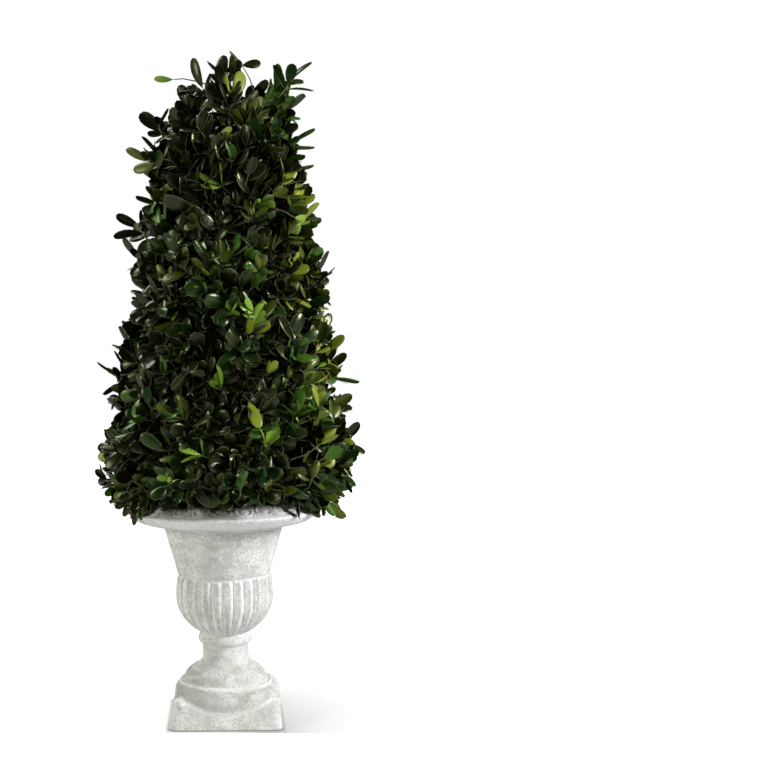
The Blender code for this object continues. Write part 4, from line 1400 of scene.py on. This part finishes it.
# %% The floor
FLOOR_SIZE = 12.0
SHADE_SQUEEZE = (1.0, 0.30, 1.0)
SHADE_CENTRE = (0.034, -0.046 * SHADE_SQUEEZE[1], 0.0)
SHADE_DEPTH = 0.46
SHADE_HALVING = 0.0165
SHADE_LEVELS = (0.56, 0.67)
SHADE_REACH = (0.012, 0.075, 0.100)
FRONT_EDGE = (-0.0525, -0.0555)
LINE_BESIDE = (0.0465, 0.0495)
LINE_IN_FRONT = (0.0465, 0.0535)
NEAR_GLOW = 0.93
FAR_GLOW = 1.30
GLOW_NEAR_RADIUS = 0.35
GLOW_FAR_RADIUS = 1.10
GLOW_AS_LIGHT = 0.12
BOUNCE_NEAR = 0.24
LINE_GLOW = 0.25


def distance(place, centre):
    """How far a place is from a centre."""
    return add_node(place.id_data, "VectorMath", "Value", {0: place, 1: centre}, operation="DISTANCE")


def is_seen(tree):
    """1 where the camera looks and 0 where light bounces."""
    return add_node(tree, "LightPath", "Is Camera Ray", {})


def painted_contact_shadow(place):
    """A factor that paints a contact shadow: a narrow strip of the table round the foot, wider in front of
    it.
    """
    across = remap(size_of(along_axis(place, "X")), *LINE_BESIDE)
    ahead = remap(size_of(along_axis(place, "Y")), *LINE_IN_FRONT)
    return remap(highest(across, ahead), 0.0, 1.0, LINE_GLOW, 1.0)


def shaded_glow(place):
    """The glow near the foot, with a painted shade that halves with each step away and ends in front of it.
    """
    away = distance(stretch(place, SHADE_SQUEEZE), SHADE_CENTRE)
    near_end, far_end, clear_end = SHADE_REACH
    halved = combine("EXPONENT", times(away, -math.log(2.0) / SHADE_HALVING), 0.0)
    level = remap(away, near_end, far_end, *SHADE_LEVELS)
    beyond = remap(away, far_end, clear_end, 0.0, NEAR_GLOW)
    in_front = remap(along_axis(place, "Y"), *FRONT_EDGE, 0.0, NEAR_GLOW)
    return highest(combine("SUBTRACT", level, times(halved, SHADE_DEPTH)), beyond, in_front)


def build_floor():
    """One large pale square whose glow grows with distance from the object, with painted shade by the foot.
    """
    mesh = bpy.data.meshes.new("table")
    half = 0.5 * FLOOR_SIZE
    square = [(-half, -half, 0.0), (half, -half, 0.0), (half, half, 0.0), (-half, half, 0.0)]
    mesh.from_pydata(square, [], [(0, 1, 2, 3)])
    material, shader, place = new_material("table_white")
    away = distance(place, (0.0, 0.0, 0.0))
    far_glow = remap(away, GLOW_NEAR_RADIUS, GLOW_FAR_RADIUS, 0.0, FAR_GLOW)
    glow = times(highest(shaded_glow(place), far_glow), painted_contact_shadow(place))
    bounce = remap(away, 0.20, 0.34, BOUNCE_NEAR, GLOW_AS_LIGHT)
    fill_inputs(shader, {
        "Base Color": (0.45, 0.45, 0.45, 1.0),
        "Roughness": 0.9,
        "Specular IOR Level": 0.0,
        "Emission Color": (1.0, 1.0, 1.0, 1.0),
        "Emission Strength": times(glow, highest(is_seen(material.node_tree), bounce)),
    })
    mesh.materials.append(material)
    table = add_object("table", mesh)
    print("table glow:", len(material.node_tree.nodes), "nodes")


build_floor()

# %% World and lights
WORLD_LIGHT = 0.05
# Name, place, aimed at, size, watts, colour
SOFTBOXES = [
    ("key_right", (1.65, -0.65, 0.95), (0.0, 0.0, 0.28), (0.45, 0.65), 43.0, (0.985, 0.99, 1.0)),
    ("fill_left", (-1.65, -0.90, 0.75), (0.0, 0.0, 0.25), (0.8, 0.8), 17.5, (1.0, 0.99, 0.87)),
    ("top_left", (-0.80, 0.30, 1.55), (0.0, 0.0, 0.2), (0.8, 0.8), 15.0, (1.0, 1.0, 1.0)),
]


def build_world():
    """White to look at, dim as a light."""
    world = bpy.data.worlds.new("white_studio")
    bpy.context.scene.world = world
    world.use_nodes = True
    strength = remap(is_seen(world.node_tree), 0.0, 1.0, WORLD_LIGHT, 1.0)
    fill_inputs(world.node_tree.nodes["Background"], {"Color": (1.0, 1.0, 1.0, 1.0), "Strength": strength})


def add_softbox(name, place, aim, size, watts, colour):
    """A rectangular light that faces a point."""
    data = bpy.data.lights.new(name, "AREA")
    data.shape = "RECTANGLE"
    data.size, data.size_y = size
    data.energy = watts
    data.color = colour
    light = add_object(name, data)
    light.location = place
    x, y, z = np.array(place) - np.array(aim)
    light.rotation_euler = (math.atan2(math.hypot(x, y), z), 0.0, math.atan2(x, -y))


build_world()
for softbox in SOFTBOXES:
    add_softbox(*softbox)
bpy.context.scene.view_settings.view_transform = "Standard"
print(len(SOFTBOXES), "lights")
